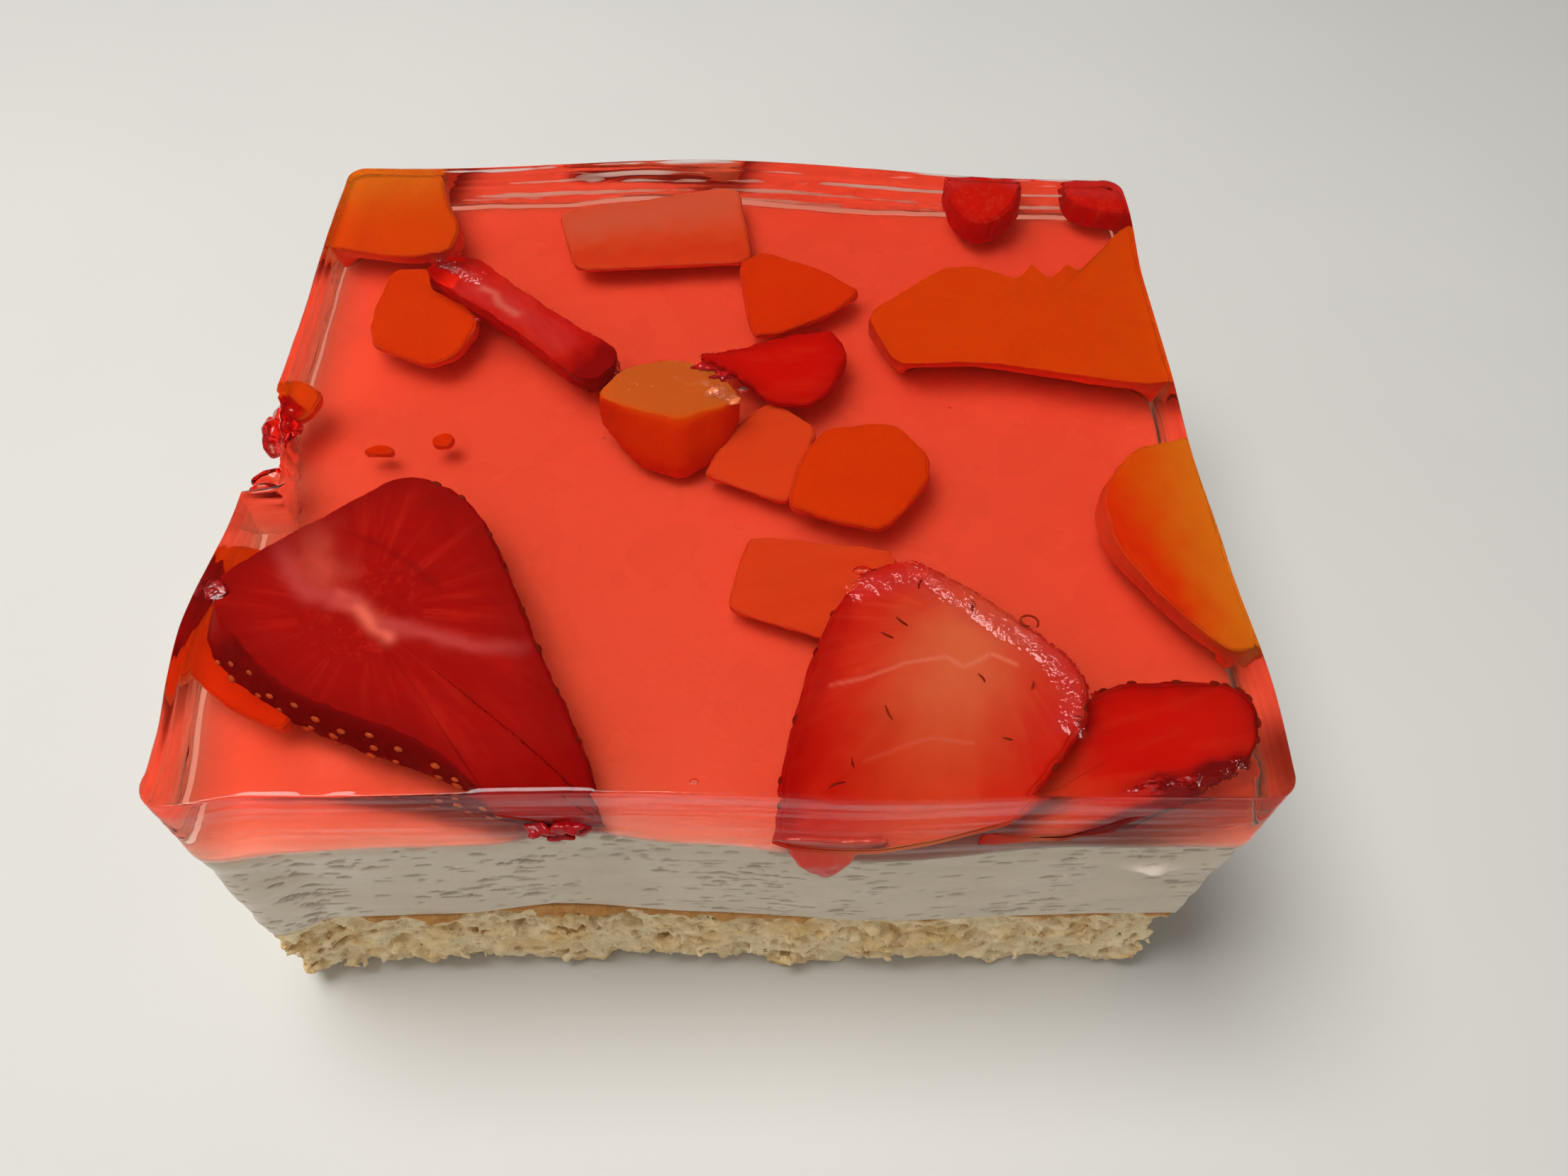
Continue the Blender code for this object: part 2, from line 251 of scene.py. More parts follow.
def freshMaterial(name, looks):
    # a material with its shader's plain values, and the place on the piece for its textures
    material = bpy.data.materials.new(name)
    material.use_nodes = True
    tree = material.node_tree
    shader = tree.nodes["Principled BSDF"]
    plug(shader, {"Metallic": 0.0, **looks})
    return material, tree, shader, addNode(tree, "ShaderNodeTexCoord", None, "Object")


def mottledMaterial(name, looks, waveMm, detail, first, second):
    # a plain surface whose colour wanders between two near ones
    material, tree, shader, spot = freshMaterial(name, looks)
    cloud = addNode(tree, "ShaderNodeTexNoise", {"Vector": spot, "Scale": perMetre(waveMm), "Detail": detail})
    plug(shader, {"Base Color": paintOver(tree, first, ((cloud, second),))})
    return material


def jellyMaterial(name, density):
    # gelatine jelly, poured and chilled: clear, red through its depth, wet gloss with faint knife waves
    material, tree, shader, spot = freshMaterial(name, {
        "Roughness": 0.03, "IOR": jellyBend, "Transmission Weight": 1.0, "Base Color": white})
    painted = {paint: addNode(tree, "ShaderNodeAttribute", None, "Fac", attribute_name=paint)
               for paint in ("pulled", "film", "scuffed")}
    # the knife pulled the front face down; the light takes it as leaning back a little
    rise = addNode(tree, "ShaderNodeSeparateXYZ", {0: spot}, 2)
    lean = addNode(tree, "ShaderNodeBump", {
        "Strength": painted["pulled"], "Distance": 0.36, "Height": rise}, invert=True)
    waves = addNode(tree, "ShaderNodeTexNoise", {"Vector": spot, "Scale": perMetre(7.0), "Detail": 2.0})
    relief = addNode(tree, "ShaderNodeBump", {
        "Strength": 0.12, "Distance": 0.0004, "Height": waves, "Normal": lean})
    # the film over the fruit puckered as it set
    puckers = addNode(tree, "ShaderNodeTexNoise", {
        "Vector": spot, "Scale": perMetre(1.0), "Detail": 2.0, "Roughness": 0.6})
    pucker = addNode(tree, "ShaderNodeBump", {
        "Strength": painted["film"], "Distance": 0.001, "Height": puckers, "Normal": relief})
    # the knife dragged fine pale scuffs along the front
    along = addNode(tree, "ShaderNodeVectorMath", {
        0: spot, 1: (perMetre(18.0), perMetre(18.0), perMetre(1.0))}, operation="MULTIPLY")
    drag = addNode(tree, "ShaderNodeTexNoise", {"Vector": along, "Scale": 1.0, "Detail": 3.0})
    scuff = addNode(tree, "ShaderNodeMapRange", {
        "Value": drag, "From Min": 0.45, "From Max": 0.7, "To Min": 0.0, "To Max": 0.5})
    scuffs = addNode(tree, "ShaderNodeMath", {0: scuff, 1: painted["scuffed"]}, operation="MULTIPLY")
    clearness = addNode(tree, "ShaderNodeMath", {0: 1.0, 1: scuffs}, operation="SUBTRACT")
    plug(shader, {"Transmission Weight": clearness, "Normal": pucker})
    depth = addNode(tree, "ShaderNodeVolumeAbsorption", {"Color": (1.0, 0.21, 0.0, 1.0), "Density": density})
    plug(tree.nodes["Material Output"], {"Volume": depth})
    return material


def cheeseMaterial():
    # cream cheese set with gelatine and cut: damp off-white with a soft shine, painted greyer in its pores as
    # painted shade and painted lighter on top under the jelly as painted light
    material, tree, shader, spot = freshMaterial("Cream Cheese Set Cut", {
        "Roughness": 0.42, "IOR": 1.40, "Subsurface Weight": 0.3, "Subsurface Radius": (1.0, 0.9, 0.75),
        "Subsurface Scale": 0.002})
    cloud = addNode(tree, "ShaderNodeTexNoise", {"Vector": spot, "Scale": perMetre(9.0), "Detail": 3.0})
    grain = addNode(tree, "ShaderNodeTexNoise", {"Vector": spot, "Scale": perMetre(0.9), "Detail": 2.0})
    wet = addNode(tree, "ShaderNodeMapRange", {
        "Value": cloud, "From Min": 0.4, "From Max": 0.65, "To Min": 0.22, "To Max": 0.42})
    relief = addNode(tree, "ShaderNodeBump", {"Strength": 0.3, "Distance": 0.0002, "Height": grain})
    # painted light: the top under the jelly is painted lighter and warmer than the sides
    # painted shade: the pores are painted greyer where they dent in
    colour = paintOver(tree, "#D3C4B0", (
        (cloud, "#C8B8A1"), ("poreShade", "#A79680"), ("paintedTopLight", "#FCD8BE"), ("lump", "#F6E6D2")))
    plug(shader, {"Base Color": colour, "Roughness": wet, "Normal": relief})
    return material


def spongeMaterial():
    # vanilla sponge, baked and torn by the knife: dry pale crumb with yellow patches and a golden skin on
    # top, and painted shade deep in its pores
    material, tree, shader, spot = freshMaterial("Sponge Cake Baked Crumb", {
        "Roughness": 0.9, "IOR": 1.35, "Specular IOR Level": 0.2})
    patches = addNode(tree, "ShaderNodeTexNoise", {"Vector": spot, "Scale": perMetre(6.0), "Detail": 3.0})
    yolk = addNode(tree, "ShaderNodeMapRange", {"Value": patches, "From Min": 0.45, "From Max": 0.75})
    grain = addNode(tree, "ShaderNodeTexNoise", {
        "Vector": spot, "Scale": perMetre(1.1), "Detail": 4.0, "Roughness": 0.7})
    specks = addNode(tree, "ShaderNodeMapRange", {"Value": grain, "From Min": 0.55, "From Max": 0.78})
    relief = addNode(tree, "ShaderNodeBump", {
        "Strength": 1.0, "Distance": 0.0006, "Height": grain}, invert=True)
    browned = paintOver(tree, "#D8A464", ((grain, "#A8672E"),))
    # the depth coat is painted shade: deep in its pores the crumb is painted darker
    colour = paintOver(tree, "#F4DEB4", (
        (yolk, "#E2BA76"), (specks, "#B48446"), ("depth", "#A87838"), ("skin", browned)))
    plug(shader, {"Base Color": colour, "Normal": relief})
    return material


def peachMaterial():
    # tinned peach, peeled and sliced: wet orange flesh with fine fibres, lighter where it is high; its sides
    # are painted lighter towards their foot as painted light against the shade on them
    material, tree, shader, spot = freshMaterial("Peach Flesh Tinned Sliced", tinnedLooks)
    fan = addNode(tree, "ShaderNodeAttribute", None, "Vector", attribute_name="fan")
    fibres = addNode(tree, "ShaderNodeTexNoise", {"Vector": fan, "Scale": 0.9, "Detail": 3.0})
    cloud = addNode(tree, "ShaderNodeTexNoise", {"Vector": spot, "Scale": perMetre(8.0), "Detail": 2.0})
    half = addNode(tree, "ShaderNodeMath", {0: cloud, 1: 0.5}, operation="MULTIPLY")
    tone = addNode(tree, "ShaderNodeMath", {0: fibres, 1: 0.5, 2: half}, operation="MULTIPLY_ADD")
    relief = addNode(tree, "ShaderNodeBump", {"Strength": 0.3, "Distance": 0.0003, "Height": fibres})
    # the thin coat is painted light: the sides are painted lighter towards their foot, against the shade that
    # falls on them
    colour = paintOver(tree, "#DA4E00", (
        (tone, "#E26200"), ("pale", "#E08818"), ("dark", "#E03600"), ("haze", "#D06420"),
        ("thin", "#FF9C68")))
    plug(shader, {"Base Color": colour, "Normal": relief})
    return material


def paleFruitMaterial():
    # pear in syrup, diced: translucent pale flesh, greyish in places; its sides are painted lighter towards
    # their foot as painted light against the shade on them
    material, tree, shader, _ = freshMaterial("Pear Flesh Tinned Diced", tinnedLooks)
    fan = addNode(tree, "ShaderNodeAttribute", None, "Vector", attribute_name="fan")
    fibres = addNode(tree, "ShaderNodeTexNoise", {"Vector": fan, "Scale": 0.5, "Detail": 3.0})
    # the thin coat is painted light: the sides are painted lighter towards their foot, against the shade that
    # falls on them
    colour = paintOver(tree, "#DE7238", (
        (fibres, "#E68448"), ("pale", "#DC9C7C"), ("dark", "#D85A2C"), ("thin", "#FF9C6C")))
    plug(shader, {"Base Color": colour})
    return material


def strawberryMaterial(name, flesh, veins, heart, haze, wet=False):
    # fresh strawberry, sliced: juicy flesh with pale veins that fan out from the core, and a dark wet skin
    material, tree, shader, spot = freshMaterial(name, {
        "Roughness": 0.15 if wet else 0.4, "IOR": 1.36, "Specular IOR Level": 0.5 if wet else inJelly,
        "Subsurface Weight": 0.3, "Subsurface Radius": (1.0, 0.2, 0.12), "Subsurface Scale": 0.002})
    fan = addNode(tree, "ShaderNodeAttribute", None, "Vector", attribute_name="fan")
    skin = addNode(tree, "ShaderNodeAttribute", None, "Fac", attribute_name="skin")
    rays = addNode(tree, "ShaderNodeTexNoise", {
        "Vector": fan, "Scale": 0.7, "Detail": 3.0, "Roughness": 0.55})
    thin = addNode(tree, "ShaderNodeMapRange", {"Value": rays, "From Min": 0.5, "From Max": 0.68})
    rayShare = addNode(tree, "ShaderNodeMath", {0: thin, 1: 0.45}, operation="MULTIPLY")
    cloud = addNode(tree, "ShaderNodeTexNoise", {"Vector": spot, "Scale": perMetre(5.0), "Detail": 2.0})
    cloudShare = addNode(tree, "ShaderNodeMath", {0: cloud, 1: 0.35}, operation="MULTIPLY")
    relief = addNode(tree, "ShaderNodeBump", {"Strength": 0.25, "Distance": 0.0003, "Height": rays})
    skinGrain = addNode(tree, "ShaderNodeTexVoronoi", {"Vector": spot, "Scale": perMetre(2.4)})
    skinRelief = addNode(tree, "ShaderNodeMath", {0: skin, 1: 0.6}, operation="MULTIPLY")
    dimples = addNode(tree, "ShaderNodeBump", {
        "Strength": skinRelief, "Distance": 0.0005, "Height": skinGrain, "Normal": relief})
    colour = paintOver(tree, flesh, (
        (rayShare, veins), (cloudShare, flesh), ("pale", heart), ("haze", haze), ("vein", "#F2A084"),
        ("dark", "#920804"), (skin, "#7A0806")))
    plug(shader, {"Base Color": colour, "Normal": dimples})
    return material


def airMaterial():
    # air caught in the jelly: a bubble bends light the other way
    material, tree, shader, spot = freshMaterial("Air Caught In Jelly", {
        "Roughness": 0.02, "IOR": 1 / jellyBend, "Transmission Weight": 1.0, "Base Color": white})
    cloud = addNode(tree, "ShaderNodeTexNoise", {"Vector": spot, "Scale": perMetre(1.5)})
    relief = addNode(tree, "ShaderNodeBump", {"Strength": 0.05, "Distance": 0.0002, "Height": cloud})
    plug(shader, {"Normal": relief})
    return material


# jelly

jelly = {
    "density": 108.0,  # how strongly the jelly colours the light that passes through it
    "around": 744,
    "sideRows": 24,
    "underInsets": (45.0, 36.0, 28.0, 21.0, 15.0, 10.0, 7.0, 5.0, 3.4, 2.2, 1.4, 0.8, 0.35),
    "rim": 0.22,
    "lift": 0.1,  # its side stands this far up the line of the cheese
    "sink": 0.35,  # its underside reaches into the cheese, so that no air shows between them
    "swell": (0.4, 12.0),  # the middle of the back edge stands higher: by how much, how far in
    "notch": {"front": -10.4, "back": 5.0, "depth": 3.4, "slope": 1.2, "lump": (1.8, 0.0, 4.5, 42.0, 3.5)},
    # waves of the cut sides: height, waves to the millimetre along each axis, start of the noise
    "sideWaves": ((0.07, (0.05, 0.05, 0.9), 0.0), (0.02, (0.08, 0.08, 3.0), 5.0)),
    "rearWaves": ((0.15, (0.05, 0.05, 0.9), 1.0), (0.04, (0.08, 0.08, 3.0), 0.0),
                  (0.05, (0.35, 0.35, 0.7), 9.0)),
    "rightCalm": 0.7,
    "tornWaves": ((0.45, 0.8, 3.0), (0.3, 1.9, 6.0)),
    "topWaves": ((0.06, 0.09, 2.0), (0.03, 0.35, 7.0)),
    "creases": ((0.55, 0.8, 4.0), (0.385, 1.7, 9.0)),
    # where the front is crumpled: x, its half-width, z, its half-width
    "crumple": (-14.5, 2.6, 40.8, 1.1),
    "crumpleWaves": ((0.5, 0.9, 2.0), (0.3, 2.1, 7.0)),
    "scuffed": 0.3,
    # where fruit reaches the surface a thin film of jelly lies over it: path, width, height
    "film": (
        (((12.5, -22.5), (18.5, -20.5), (24.0, -25.0), (29.5, -29.0), (32.0, -33.0), (31.5, -37.5)), 1.3,
         0.45),
        (((-11.5, 6.0), (-7.0, 6.0), (-2.5, 5.6)), 4.0, 0.2),
        (((-3.2, 6.2), (-1.4, 5.0)), 1.3, 0.35),
        (((-35.0, 25.5), (-31.0, 23.5)), 1.6, 0.5),
        (((36.0, -44.0), (42.0, -43.0), (45.6, -41.8)), 0.9, 0.5),
        (((-49.6, -22.6), (-49.2, -23.0)), 0.9, 0.3),
    ),
}


def notchShift(x, y, z):
    # inward step where the left side is broken, less deep at mid height
    gap = jelly["notch"]
    size, lumpY, halfY, lumpZ, halfZ = gap["lump"]
    along = (gap["back"] - y) / (gap["back"] - gap["front"])
    lump = size * bump(y, lumpY, halfY) * bump(z, lumpZ, halfZ)
    inside = (x < left + 8) & (y > gap["front"]) & (y < gap["back"])
    return np.where(inside, gap["depth"] * np.minimum(1.0, gap["slope"] * along) - lump, 0.0)


def makeJelly(material):
    outline, outs = planOutline(jelly["around"])
    x, y = outline[:, 0], outline[:, 1]
    toFront, toRight = np.maximum(0, -outs[:, 1]), np.maximum(0, outs[:, 0])
    toRear = np.maximum(0, outs[:, 1]) + np.maximum(0, -outs[:, 0])
    onFront = y < front + 3
    rim, sideRows, insets = jelly["rim"], jelly["sideRows"], jelly["underInsets"]
    plan = [(inset, 0.0, 0.0) for inset in insets]  # inset, rim inset, share of the height
    plan += [(0.0, 0.0, i / sideRows) for i in range(sideRows)]
    plan += [(0.0, rim * (1 - math.cos(a)), math.sin(a)) for a in np.linspace(0, math.pi / 2, 7)]
    plan += [(inset, rim, 1.0) for inset in (*np.arange(0.4, 6, 0.5), *np.linspace(6, shrinkSpan, 46))]
    rings, films = [], []
    for row, (inset, rimInset, share) in enumerate(plan):
        under = row < len(insets)
        low = jelly["lift"] + lineHeight(cake["jellyBase"], cake["jellyLine"], x, y, inset if under else 0.0)
        inner = stepIn(outline, inset)
        rise, reach = jelly["swell"]
        high = cake["jellyTop"] + rise * bump(inner[:, 0], 0.0, right) * bump(inner[:, 1], back, reach)
        if under:
            z = low - (jelly["sink"] + jelly["lift"]) * min(1.0, inset / 0.8)
        elif row < len(insets) + sideRows:
            z = low + (high - rim - low) * share
        else:
            z = high - rim * (1 - share)
        spots = np.column_stack([outline, z])
        waves = ripples(spots, jelly["sideWaves"]) * (1 - jelly["rightCalm"] * toRight)
        waves += toRear * ripples(spots, jelly["rearWaves"])
        atX, wide, atZ, tall = jelly["crumple"]
        crumple = np.exp(-((x - atX) / wide) ** 2 - ((z - atZ) / tall) ** 2) * onFront * (inset < 0.3)
        waves += crumple * (0.25 + ripples(spots, jelly["crumpleWaves"]))
        film = 0.6 * crumple
        broken = notchShift(x, y, z)
        torn = (broken > 0) * ripples(spots, jelly["tornWaves"])
        shift = (waves - broken + torn) * max(0.0, 1 - inset / 4.0) - rimInset
        flat = stepIn(outline + outs * shift[:, None], inset)
        if share == 1.0:
            top = np.column_stack([flat, np.zeros_like(z)])
            calm = min(1.0, (shrinkSpan - inset) / 10.0) ** 2  # level where the rings close
            film = film + strokeStrength(top, jelly["film"])
            z = z + calm * ripples(top, jelly["topWaves"]) + film * (1 + ripples(top, jelly["creases"]))
        rings.append(np.column_stack([flat, z]))
        films.append(np.clip(film * 1.6, 0, 0.9))
    onCut = np.array([[inset == 0.0 and rimInset == 0.0] for inset, rimInset, share in plan])
    rise = np.array([[share] for inset, rimInset, share in plan])
    # the light takes the upper half of the front face as leaning back, and its foot less so
    pulled = onCut * (0.45 + 0.55 * np.clip(rise * 2, 0, 1)) * np.clip((toFront - 0.8) / 0.15, 0, 1) * onFront
    paints = {"film": np.array(films), "pulled": pulled,
              "scuffed": onCut * jelly["scuffed"] * toFront * onFront}
    piece = closedSkin("jelly_slab", np.array(rings), material, paints)
    settle(piece, "jelly_layer")
    print("jelly", len(piece.data.polygons), "faces")


# cheese

cheese = {
    "around": 860,
    "sideRows": 86,
    "insets": (45.0, 30.0, 20.0, 12.0, 8.0, 5.0, 3.0, 1.6, 0.7),
    "setBack": 0.32,  # its side stands behind the jelly's
    "softEdge": 0.25,
    "rightLean": 1.4,
    "overlap": (0.1, 0.02),  # how far it reaches into the sponge and into the jelly
    "sideWaves": ((0.3, (0.12, 0.12, 0.4), 0.0),),
    "highest": 0.15,
    "fineWaves": ((0.03, (0.9, 0.9, 1.6), 4.0),),
    "poreFade": 14,  # the pores fade out over one part in this many of the height
    # the pale lump that the knife left at the right end of the front: x, z, half-widths, how far out
    "lump": (41.5, 31.0, 2.0, 1.0, 0.9),
    "lumpWaves": ((0.4, 1.1, 8.0),),
    "pores": 1900,
    "poreHalfLength": (0.25, 1.3),
    "poreHalfHeight": (0.12, 0.26),
    "poreDepth": (0.35, 0.9),
    "crowd": (0.13, 0.7, 0.35, 1.3),  # waves to the millimetre, more at top and foot, least chance, spread
    "seed": 7,
}


def cheesePores(spots, lengths):
    # long flat bubbles opened by the knife, pressed into the side's rows; gives how deep each spot lies
    rng = random.Random(cheese["seed"])
    rows, columns = spots.shape[:2]
    dents = np.zeros((rows, columns))
    spacing = lengths / columns
    perMm, atEnds, least, spread = cheese["crowd"]
    made = 0
    while made < cheese["pores"]:
        column = rng.randrange(columns)
        share = rng.random()
        row = int(share * (rows - 1))
        spot = spots[row, column]
        crowd = noise.noise(Vector(spot) * perMm) + atEnds * abs(share - 0.5)
        if rng.random() > least + spread * crowd:
            continue
        made += 1
        longHalf = rng.uniform(*cheese["poreHalfLength"]) * rng.uniform(0.4, 1.0)
        highHalf = rng.uniform(*cheese["poreHalfHeight"])
        deep = rng.uniform(*cheese["poreDepth"]) * min(1.0, longHalf)
        bend = rng.uniform(0.0, 0.35)
        reach = int(longHalf / spacing) + 2
        near = (column + np.arange(-reach, reach + 1)) % columns
        offX = np.arange(-reach, reach + 1) * spacing
        offZ = spots[:, near, 2] - spot[2] + bend * (offX / longHalf) ** 2 * highHalf * 2
        inside = np.clip(1 - (offX / longHalf) ** 2 - (offZ / highHalf) ** 2, 0, 1)
        dents[:, near] = np.maximum(dents[:, near], deep * np.sqrt(inside))
    return dents


def makeCheese(material):
    outline, outs = planOutline(cheese["around"])
    x, y = outline[:, 0], outline[:, 1]
    insets, rows = cheese["insets"], cheese["sideRows"]
    shares = [0.0] * len(insets) + [i / (rows - 1) for i in range(rows)] + [1.0] * len(insets)
    steps = [*insets, *[0.0] * rows, *insets[::-1]]
    intoSponge, intoJelly = cheese["overlap"]
    rings = []
    for inset, share in zip(steps, shares):
        low = lineHeight(cake["spongeTop"], cake["spongeLine"], x, y, inset) - intoSponge
        high = lineHeight(cake["jellyBase"], cake["jellyLine"], x, y, inset) + intoJelly
        spots = np.column_stack([outline, low + (high - low) * share])
        fromEnds = min(share, 1 - share)
        soft = cheese["softEdge"] * np.exp(-fromEnds * 60) if inset == 0 else 0.0
        dent = np.minimum(cheese["highest"], ripples(spots, cheese["sideWaves"])) * min(1.0, 12 * fromEnds)
        lean = cheese["rightLean"] * (1 - share) * np.maximum(0.0, outs[:, 0])
        flat = stepIn(outline + outs * (dent - lean - cheese["setBack"] - soft)[:, None], inset)
        rings.append(np.column_stack([flat, spots[:, 2]]))
    rings = np.array(rings)
    side = slice(len(insets), len(insets) + rows)
    sidePart = rings[side]
    perimeter = np.linalg.norm(np.diff(outline, axis=0), axis=1).sum()
    dents = cheesePores(sidePart, perimeter)
    rise = np.linspace(0, 1, rows)
    ends = np.clip(rise * cheese["poreFade"], 0, 1) * np.clip((1 - rise) * cheese["poreFade"], 0, 1)
    press = (ripples(sidePart, cheese["fineWaves"]) - dents) * ends[:, None]
    sidePart[..., :2] += outs * press[..., None]
    atX, atZ, wide, tall, out = cheese["lump"]
    lump = np.exp(-(((sidePart[..., 0] - atX) / wide) ** 2 + ((sidePart[..., 2] - atZ) / tall) ** 2))
    lump *= (sidePart[..., 1] < front + 4) * (1 + ripples(sidePart, cheese["lumpWaves"]))
    sidePart[..., 1] -= out * lump
    # painted shade: the pores are painted greyer the deeper they dent in
    poreShade = np.zeros(rings.shape[:2])
    poreShade[side] = np.clip(dents * 1.2, 0, 1)
    # painted light: the cheese's top under the jelly is painted lighter and warmer than its sides, so that it
    # shines through the jelly as brightly lit
    paintedTopLight = np.zeros(rings.shape[:2])
    paintedTopLight[len(insets) + rows - 1:] = 1.0
    pale = np.zeros(rings.shape[:2])
    pale[side] = np.clip(lump * 1.6, 0, 1)
    piece = closedSkin("cheese_block", rings, material, {"poreShade": poreShade, "paintedTopLight": paintedTopLight, "lump": pale})
    settle(piece, "cheese_layer")
    print("cheese", len(piece.data.polygons), "faces")


# sponge

sponge = {
    "voxel": 0.42,
    "evenOut": 0.28,  # flat stretches get larger faces
    "margin": 4.0,
    "inset": 0.8,  # the crumb stands back from the cheese's side
    "rightLean": 1.6,
    "knifePull": 8.0,  # how far in the crumb follows the knife
    "cornerRound": 2.0,
    "rags": (6.0, 3.0),  # how far the fine and the coarse rags reach
    "skin": (1.6, 0.5, 0.55),  # thickness of the calmer top, how fast it calms, how much at most
    "tufts": (3.5, 0.35),  # height of the tufts at the foot, slope of the undercut between them
    "deep": (1.2, 0.9),  # from this depth on the pores close, by this much for each millimetre
    "closedSkin": 1.2,
    "bend": (1.4, 1.4, 1.4),
    "flatten": (1, 1, 1.25),
    # cells to the millimetre, least radius, spread of radii
    "pores": {"big": (0.32, 0.1, 0.95), "small": (0.85, 0.15, 0.55)},
    "skinOver": (0.45, 2.4, 1.2),  # the skin held together and stands out over the crumb: reach, from, over
    "brown": (1.1, ((1.0, 0.4, 3.0),)),  # thickness of the browned skin and its waves
}


def crumbGroup():
    # torn crumb as a field: solid inside, with rags, open pores near the sides and a smoother skin on top
    tree = bpy.data.node_groups.new("crumb", "GeometryNodeTree")
    tree.interface.new_socket("Geometry", in_out="OUTPUT", socket_type="NodeSocketGeometry")
    halfX, halfY, top = right - sponge["inset"], back - sponge["inset"], cake["spongeTop"]
    fineReach, coarseReach = sponge["rags"]
    skinThick, skinSlope, skinCalm = sponge["skin"]
    tuftHeight, underSlope = sponge["tufts"]
    deepFrom, deepSlope = sponge["deep"]
    spot = addNode(tree, "GeometryNodeInputPosition")
    x, y, z = addNode(tree, "ShaderNodeSeparateXYZ", {0: spot}).node.outputs
    coarse = addNode(tree, "ShaderNodeTexNoise", {"Vector": spot, "Scale": 0.17, "Detail": 1.0})
    fine = addNode(tree, "ShaderNodeTexNoise", {
        "Vector": spot, "Scale": 0.5, "Detail": 4.0, "Roughness": 0.72})
    warp = addNode(tree, "ShaderNodeTexNoise", {"Vector": spot, "Scale": 0.6, "Detail": 1.0}, 1)
    bent = addNode(tree, "ShaderNodeVectorMath", {0: warp, 1: sponge["bend"], 2: spot},
                   operation="MULTIPLY_ADD")
    bent = addNode(tree, "ShaderNodeVectorMath", {0: bent, 1: sponge["flatten"]}, operation="MULTIPLY")
    field = {"x": x, "y": y, "z": z, "coarse": coarse, "fine": fine}
    # the sums of the field in turn: name, operation, terms
    steps = [
        ("absX", "ABSOLUTE", "x"),
        ("absY", "ABSOLUTE", "y"),
        ("gapX", "SUBTRACT", halfX, "absX"),
        ("gapY", "SUBTRACT", halfY, "absY"),
        ("side", "SMOOTH_MIN", "gapX", "gapY", sponge["cornerRound"]),
        ("coarse", "SUBTRACT", "coarse", 0.5),
        ("fine", "SUBTRACT", "fine", 0.5),
        ("coarse", "MULTIPLY", "coarse", coarseReach),
        ("ragged", "MULTIPLY_ADD", "fine", fineReach, "coarse"),
        ("intoSkin", "SUBTRACT", "z", top - skinThick),
        ("intoSkin", "MAXIMUM", 0.0, "intoSkin"),
        ("calm", "MULTIPLY", "intoSkin", skinSlope),
        ("calm", "MINIMUM", skinCalm, "calm"),
        ("calm", "SUBTRACT", 1.0, "calm"),
        ("side", "MULTIPLY_ADD", "ragged", "calm", "side"),
        ("foot", "SUBTRACT", tuftHeight, "z"),
        ("foot", "MAXIMUM", 0.0, "foot"),
        ("foot", "MULTIPLY", "foot", underSlope),
        ("side", "SUBTRACT", "side", "foot"),
    ]
    for size, (scale, least, spread) in sponge["pores"].items():
        cells = addNode(tree, "ShaderNodeTexVoronoi", {"Vector": bent, "Scale": scale}).node.outputs
        field[size + "Away"] = cells["Distance"]
        field[size + "Chance"] = addNode(tree, "ShaderNodeSeparateXYZ", {0: cells["Color"]})
        steps += [
            (size + "Away", "DIVIDE", size + "Away", scale),
            (size + "Radius", "MULTIPLY_ADD", size + "Chance", spread, least),
            (size + "Wall", "SUBTRACT", size + "Away", size + "Radius"),
        ]
    steps += [
        ("pores", "SMOOTH_MIN", "bigWall", "smallWall", 0.2),
        ("deep", "SUBTRACT", "side", deepFrom),
        ("deep", "MAXIMUM", 0.0, "deep"),
        ("closed", "MULTIPLY", "intoSkin", sponge["closedSkin"]),
        ("closed", "MULTIPLY_ADD", "deep", deepSlope, "closed"),
        ("pores", "ADD", "pores", "closed"),
        ("body", "MINIMUM", "side", "pores"),
        ("underTop", "SUBTRACT", top, "z"),
        ("level", "MINIMUM", "z", "underTop"),
        ("body", "MINIMUM", "body", "level"),
    ]
    for name, operation, *terms in steps:
        field[name] = addNode(tree, "ShaderNodeMath",
                              {i: field.get(term, term) for i, term in enumerate(terms)}, operation=operation)
    spanX, spanY, spanZ = halfX + sponge["margin"], halfY + sponge["margin"], top + 2
    voxel = sponge["voxel"]
    cube = addNode(tree, "GeometryNodeVolumeCube", {
        "Density": field["body"], "Background": -1.0, "Min": (-spanX, -spanY, -1),
        "Max": (spanX, spanY, spanZ - 1),
        "Resolution X": int(2 * spanX / voxel), "Resolution Y": int(2 * spanY / voxel),
        "Resolution Z": int(spanZ / voxel)})
    skin = addNode(tree, "GeometryNodeVolumeToMesh", {
        "Volume": cube, "Voxel Size": voxel, "Threshold": 0.0, "Adaptivity": sponge["evenOut"]},
        resolution_mode="VOXEL_SIZE")
    addNode(tree, "NodeGroupOutput", {0: skin})
    return tree


def dropScraps(bm):
    # keeps the largest connected part
    unseen = set(bm.verts)
    parts = []
    while unseen:
        start = unseen.pop()
        part, queue = [start], [start]
        while queue:
            for edge in queue.pop().link_edges:
                for vert in edge.verts:
                    if vert in unseen:
                        unseen.remove(vert)
                        part.append(vert)
                        queue.append(vert)
        parts.append(part)
    parts.sort(key=len)
    bmesh.ops.delete(bm, geom=[vert for part in parts[:-1] for vert in part], context="VERTS")


